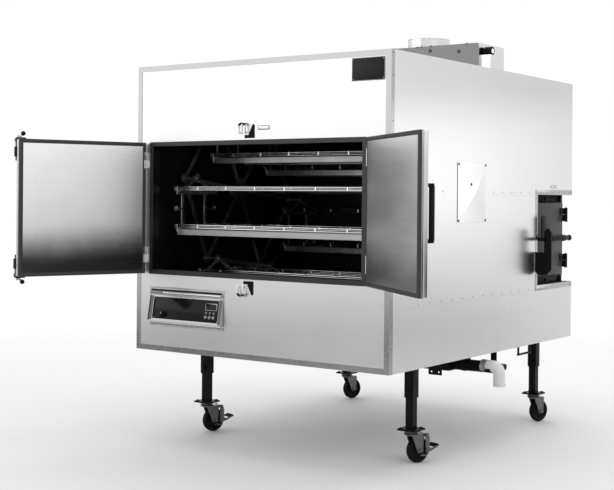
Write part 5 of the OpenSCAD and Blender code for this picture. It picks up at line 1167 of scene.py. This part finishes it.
# drain: band clamp on the black pipe, grey collars, swept white elbow; grey fuel sleeve
elbowLow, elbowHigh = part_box("drain_elbow")
drainFacts = {"radius": 0.033, "bend": 0.036, "bendSteps": 12, "pipe": 0.0315, "rimHeight": 0.0155, "collar": 0.0335,
              "collars": ((0.0, 0.010, 0.0), (0.013, 0.009, 0.0012), (0.025, 0.007, -0.0008)), "collarBack": 0.022,
              "bandBack": 0.125, "earOut": 0.006, "earLow": 0.030, "earHigh": 0.046,
              "fuelStub": (1492, 1532, 1240, -100), "fuelRadius": 0.0171}
radius, bend = drainFacts["radius"], drainFacts["bend"]
drainY = (elbowLow.y + elbowHigh.y) / 2
drainZ = elbowHigh.z - radius
dropX = elbowHigh.x - radius
route = [(elbowLow.x + 0.008, drainY, drainZ), (dropX - bend - 0.004, drainY, drainZ)]
for step in range(drainFacts["bendSteps"] + 1):
    angle = math.pi / 2 * step / drainFacts["bendSteps"]
    route.append((dropX - bend + bend * math.sin(angle), drainY, drainZ - bend + bend * math.cos(angle)))
route.append((dropX, drainY, elbowLow.z + 0.014))
bm = bmesh.new()
addTube(bm, route, drainFacts["pipe"], 32)
bmesh.ops.delete(bm, geom=[f for f in bm.faces if len(f.verts) > 4 and f.normal.z < -0.9], context="FACES_ONLY")
# the open mouth: a rolled rim with its inner wall
addSpin(bm, [(radius - 0.002, 0.002), (radius, 0.004), (radius, 0.014), (radius - 0.002, 0.0155),
             (radius - 0.0055, 0.0155), (radius - 0.0055, -0.012), (radius - 0.002, -0.012)],
        (dropX, drainY, elbowLow.z + drainFacts["rimHeight"]), (0, 0, -1), 36)
finishPiece("drainBend", bm, "pipeWhite", "cabinet", ("drain_elbow",), sharp=50)
bm = bmesh.new()
for start, wide, tall in drainFacts["collars"]:
    x = elbowLow.x - drainFacts["collarBack"] + start
    addRod(bm, (x, drainY, drainZ), (x + wide, drainY, drainZ), drainFacts["collar"] + tall, 36, bevel=0.0012)
finishPiece("drainCollars", bm, "zincSteel", "cabinet")
bandX, earLow, earHigh = elbowLow.x - drainFacts["bandBack"], drainFacts["earLow"], drainFacts["earHigh"]
bm = bmesh.new()
addSpin(bm, [(0.031, 0), (0.0345, 0.0005), (0.0352, 0.004), (0.0352, 0.018), (0.0345, 0.0235), (0.031, 0.024)],
        (bandX, drainY, drainZ), (1, 0, 0), 36)
for way in (-1, 1):
    earY = drainY + way * drainFacts["earOut"]
    addBox(bm, (bandX + 0.002, earY - 0.0015, drainZ + earLow), (bandX + 0.022, earY + 0.0015, drainZ + earHigh),
           0.0008, 1)
finishPiece("drainBand", bm, "blackPaint", "cabinet")
boltX, boltZ = bandX + 0.012, drainZ + 0.040
bm = bmesh.new()
addRod(bm, (boltX, drainY - 0.014, boltZ), (boltX, drainY + 0.014, boltZ), 0.003, 10)
addHex(bm, (boltX, drainY - 0.0075, boltZ), (0, -1, 0), 0.010, 0.006)
finishPiece("drainBandBolt", bm, "wireSteel", "cabinet")
start, end, y, z = drainFacts["fuelStub"]
bm = bmesh.new()
addRod(bm, cab(start, y, z), cab(end, y, z), drainFacts["fuelRadius"], 28, bevel=0.0012)
finishPiece("fuelSleeve", bm, "zincSteel", "cabinet")
print("drain and fuel stub dressed")

# top housing: front sheet with rounded corners, bolts and clips; beads on the collar; short draft motor
hoodFacts = {"sheet": 0.0014, "corner": 0.012, "bolts": ((1102, 1619), (1282, 1605)), "boltAcross": 0.012,
             "clips": (872, 1021, 1046, 1109, 1330), "clipHalf": 0.006, "clipOver": 0.0016,
             "collarRadius": 0.1225, "bead": 0.0018, "beadDrops": (0.004, 0.040),
             "motorRadius": 0.022, "motorLength": 0.044, "footOut": 0.012, "footHalf": 0.003}
hoodLow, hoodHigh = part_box("top_housing")
hoodRight = cornerX + cabinetWidth - (hoodLow.x - cornerX)
hoodFront = hoodLow.y - hoodFacts["sheet"]
bm = bmesh.new()
addBox(bm, (hoodLow.x, hoodFront, cornerZ + cabinetHeight), (hoodRight, hoodLow.y, hoodHigh.z))
corners = [e for e in bm.edges if abs(e.verts[0].co.y - e.verts[1].co.y) > 0.0005
           and min(v.co.z for v in e.verts) > hoodHigh.z - 0.001]
roundEdges(bm, corners, hoodFacts["corner"], 5)
finishPiece("hoodFront", bm, "hoodSteel", "cabinet")
half, over = hoodFacts["clipHalf"], hoodHigh.z + hoodFacts["clipOver"]
bm = bmesh.new()
for x, z in hoodFacts["bolts"]:
    spot = cab(x, 0, z)
    addHex(bm, (spot.x, hoodFront, spot.z), (0, -1, 0), hoodFacts["boltAcross"], 0.007)
for x in hoodFacts["clips"]:
    clipX = cab(x, 0, 0).x
    addBox(bm, (clipX - half, hoodLow.y - 0.004, hoodHigh.z - 0.006), (clipX + half, hoodLow.y + 0.014, over),
           0.0008, 1)
    addDome(bm, (clipX, hoodLow.y + 0.006, over), (0, 0, 1), 0.0042)
finishPiece("hoodBolts", bm, "darkRivet", "cabinet")
collarLow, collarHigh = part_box("flue_collar")
radius, bead = hoodFacts["collarRadius"], hoodFacts["bead"]
bm = bmesh.new()
for drop in hoodFacts["beadDrops"]:
    addSpin(bm, [(radius - 0.001, bead), (radius + bead * 0.7, bead * 0.7), (radius + bead, 0),
                 (radius + bead * 0.7, -bead * 0.7), (radius - 0.001, -bead)],
            ((collarLow.x + collarHigh.x) / 2, (collarLow.y + collarHigh.y) / 2, collarHigh.z - drop), (0, 0, 1), 96)
finishPiece("collarBeads", bm, "collarSteel", "cabinet")
motorLow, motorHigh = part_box("draft_motor")
motorY, motorZ = (motorLow.y + motorHigh.y) / 2, (motorLow.z + motorHigh.z) / 2
wide, length = hoodFacts["motorRadius"], hoodFacts["motorLength"]
bm = bmesh.new()
addSpin(bm, [(0, 0), (wide - 0.003, 0), (wide, 0.003), (wide, 0.008), (wide - 0.0015, 0.009), (wide - 0.0015, 0.026),
             (wide, 0.027), (wide, 0.036), (wide - 0.006, 0.041), (0.007, length - 0.0015), (0.006, length),
             (0, length)],
        (motorLow.x, motorY, motorZ), (1, 0, 0), 32)
for way in (-1, 1):
    footY, half = motorY + way * hoodFacts["footOut"], hoodFacts["footHalf"]
    addBox(bm, (motorLow.x + 0.004, footY - half, motorLow.z), (motorLow.x + 0.034, footY + half, motorZ - 0.012),
           0.0008, 1)
finishPiece("draftMotorBody", bm, "blackPaint", "cabinet", ("draft_motor",))
bm = bmesh.new()
addSpin(bm, [(0, 0.0035), (0.009, 0.0035), (0.0125, 0.002), (0.0135, -0.001), (0, -0.001)],
        (motorLow.x + length, motorY, motorZ), (1, 0, 0), 28)
finishPiece("draftMotorCap", bm, "wireSteel", "cabinet")
print("top housing dressed")

# stage: a pale floor that fades out, an even world and soft lamps
stageFacts = {"floorRadius": 5.6, "fadeFrom": 0.3, "fadeTo": 0.97, "floorTone": 0.92, "floorRough": 0.75,
              "cardRough": 0.9, "worldLevel": 0.62}


def plainMaterial(name, tone, rough):
    material = bpy.data.materials.new(name)
    material.use_nodes = True
    shader = material.node_tree.nodes["Principled BSDF"]
    shader.inputs["Base Color"].default_value = grey(tone)
    shader.inputs["Roughness"].default_value = rough
    return material, shader


bm = bmesh.new()
bmesh.ops.create_circle(bm, cap_ends=True, segments=96, radius=stageFacts["floorRadius"])
floor = placed("floor", meshFrom("floor", bm))
floorSkin, shader = plainMaterial("floorSkin", stageFacts["floorTone"], stageFacts["floorRough"])
shader.inputs["Specular IOR Level"].default_value = 0.2
tree = floorSkin.node_tree
reach = tree.nodes.new("ShaderNodeVectorMath")
reach.operation = "LENGTH"
tree.links.new(objectPlace(tree), reach.inputs[0])
fade = tree.nodes.new("ShaderNodeMapRange")
fade.inputs["From Min"].default_value = stageFacts["floorRadius"] * stageFacts["fadeFrom"]
fade.inputs["From Max"].default_value = stageFacts["floorRadius"] * stageFacts["fadeTo"]
fade.inputs["To Min"].default_value = 1.0
fade.inputs["To Max"].default_value = 0.0
tree.links.new(reach.outputs["Value"], fade.inputs["Value"])
tree.links.new(fade.outputs["Result"], shader.inputs["Alpha"])
floor.data.materials.append(floorSkin)

world = bpy.data.worlds.new("world")
bpy.context.scene.world = world
world.use_nodes = True
tree = world.node_tree
background = tree.nodes["Background"]
rays = tree.nodes.new("ShaderNodeLightPath").outputs
seen = mathNode(tree, "MAXIMUM", mathNode(tree, "MAXIMUM", rays["Is Camera Ray"], rays["Is Glossy Ray"]),
                rays["Is Transmission Ray"])
level = tree.nodes.new("ShaderNodeMapRange")
level.inputs["To Min"].default_value = stageFacts["worldLevel"]
level.inputs["To Max"].default_value = 1.0
tree.links.new(seen, level.inputs["Value"])
tree.links.new(level.outputs["Result"], background.inputs["Strength"])
background.inputs["Color"].default_value = (1, 1, 1, 1)

lampFacts = {
    "keyLamp": {"place": (-4.6, -5.6, 3.3), "aim": (-0.2, -1.0, 1.5), "size": (8.0, 3.6), "radiance": 0.74},
    "rightLamp": {"place": (5.6, -2.6, 4.6), "aim": (0.6, 0.0, 0.6), "size": (4.0, 2.6), "radiance": 1.5},
    "rearLamp": {"place": (5.0, 4.9, 1.75), "aim": (0.8, -0.6, 1.4), "size": (3.2, 1.7), "radiance": 0.95},
    "topLamp": {"place": (0.2, 0.4, 5.6), "aim": (0, 0, 1.2), "size": (4.6, 4.6), "radiance": 1.6},
    "backLamp": {"place": (-3.6, 5.0, 3.8), "aim": (0, 0.4, 1.0), "size": (4.0, 3.0), "radiance": 1.6},
}
for name, facts in lampFacts.items():
    lamp = bpy.data.lights.new(name, "AREA")
    lamp.shape = "RECTANGLE"
    lamp.size, lamp.size_y = facts["size"]
    lamp.energy = facts["radiance"] * math.pi * lamp.size * lamp.size_y
    holder = placed(name, lamp)
    holder.visible_camera = False
    aim = Vector(facts["aim"]) - Vector(facts["place"])
    holder.matrix_world = Matrix.Translation(facts["place"]) @ aim.to_track_quat("-Z", "Y").to_matrix().to_4x4()

# dark cards that only the steel sees: low at the front left, high and low at the right rear
cardFacts = {
    "frontCard": {"start": (-3.6, -2.2), "end": (0.2, -4.6), "low": 0.0, "high": 0.42, "tone": 0.12},
    "rearCard": {"start": (2.6, 3.6), "end": (5.2, 1.6), "low": 0.0, "high": 0.40, "tone": 0.3},
    "doorCard": {"start": (3.0, -2.4), "end": (3.0, 0.4), "low": 0.0, "high": 0.9, "tone": 0.03},
    "highCard": {"start": (2.2, 4.2), "end": (5.2, 1.6), "low": 2.14, "high": 2.34, "tone": 0.3},
}
for name, facts in cardFacts.items():
    bm = bmesh.new()
    ends = [bm.verts.new((*facts[end], facts["low"])) for end in ("start", "end")]
    edge = bm.edges.new(ends)
    raised = bmesh.ops.extrude_edge_only(bm, edges=[edge])["geom"]
    bmesh.ops.translate(bm, verts=[v for v in raised if isinstance(v, bmesh.types.BMVert)],
                        vec=(0, 0, facts["high"] - facts["low"]))
    card = placed(name, meshFrom(name, bm))
    card.data.materials.append(plainMaterial(name + "Skin", facts["tone"], stageFacts["cardRough"])[0])
    card.visible_camera = card.visible_diffuse = card.visible_shadow = card.visible_transmission = False
print("stage lit")
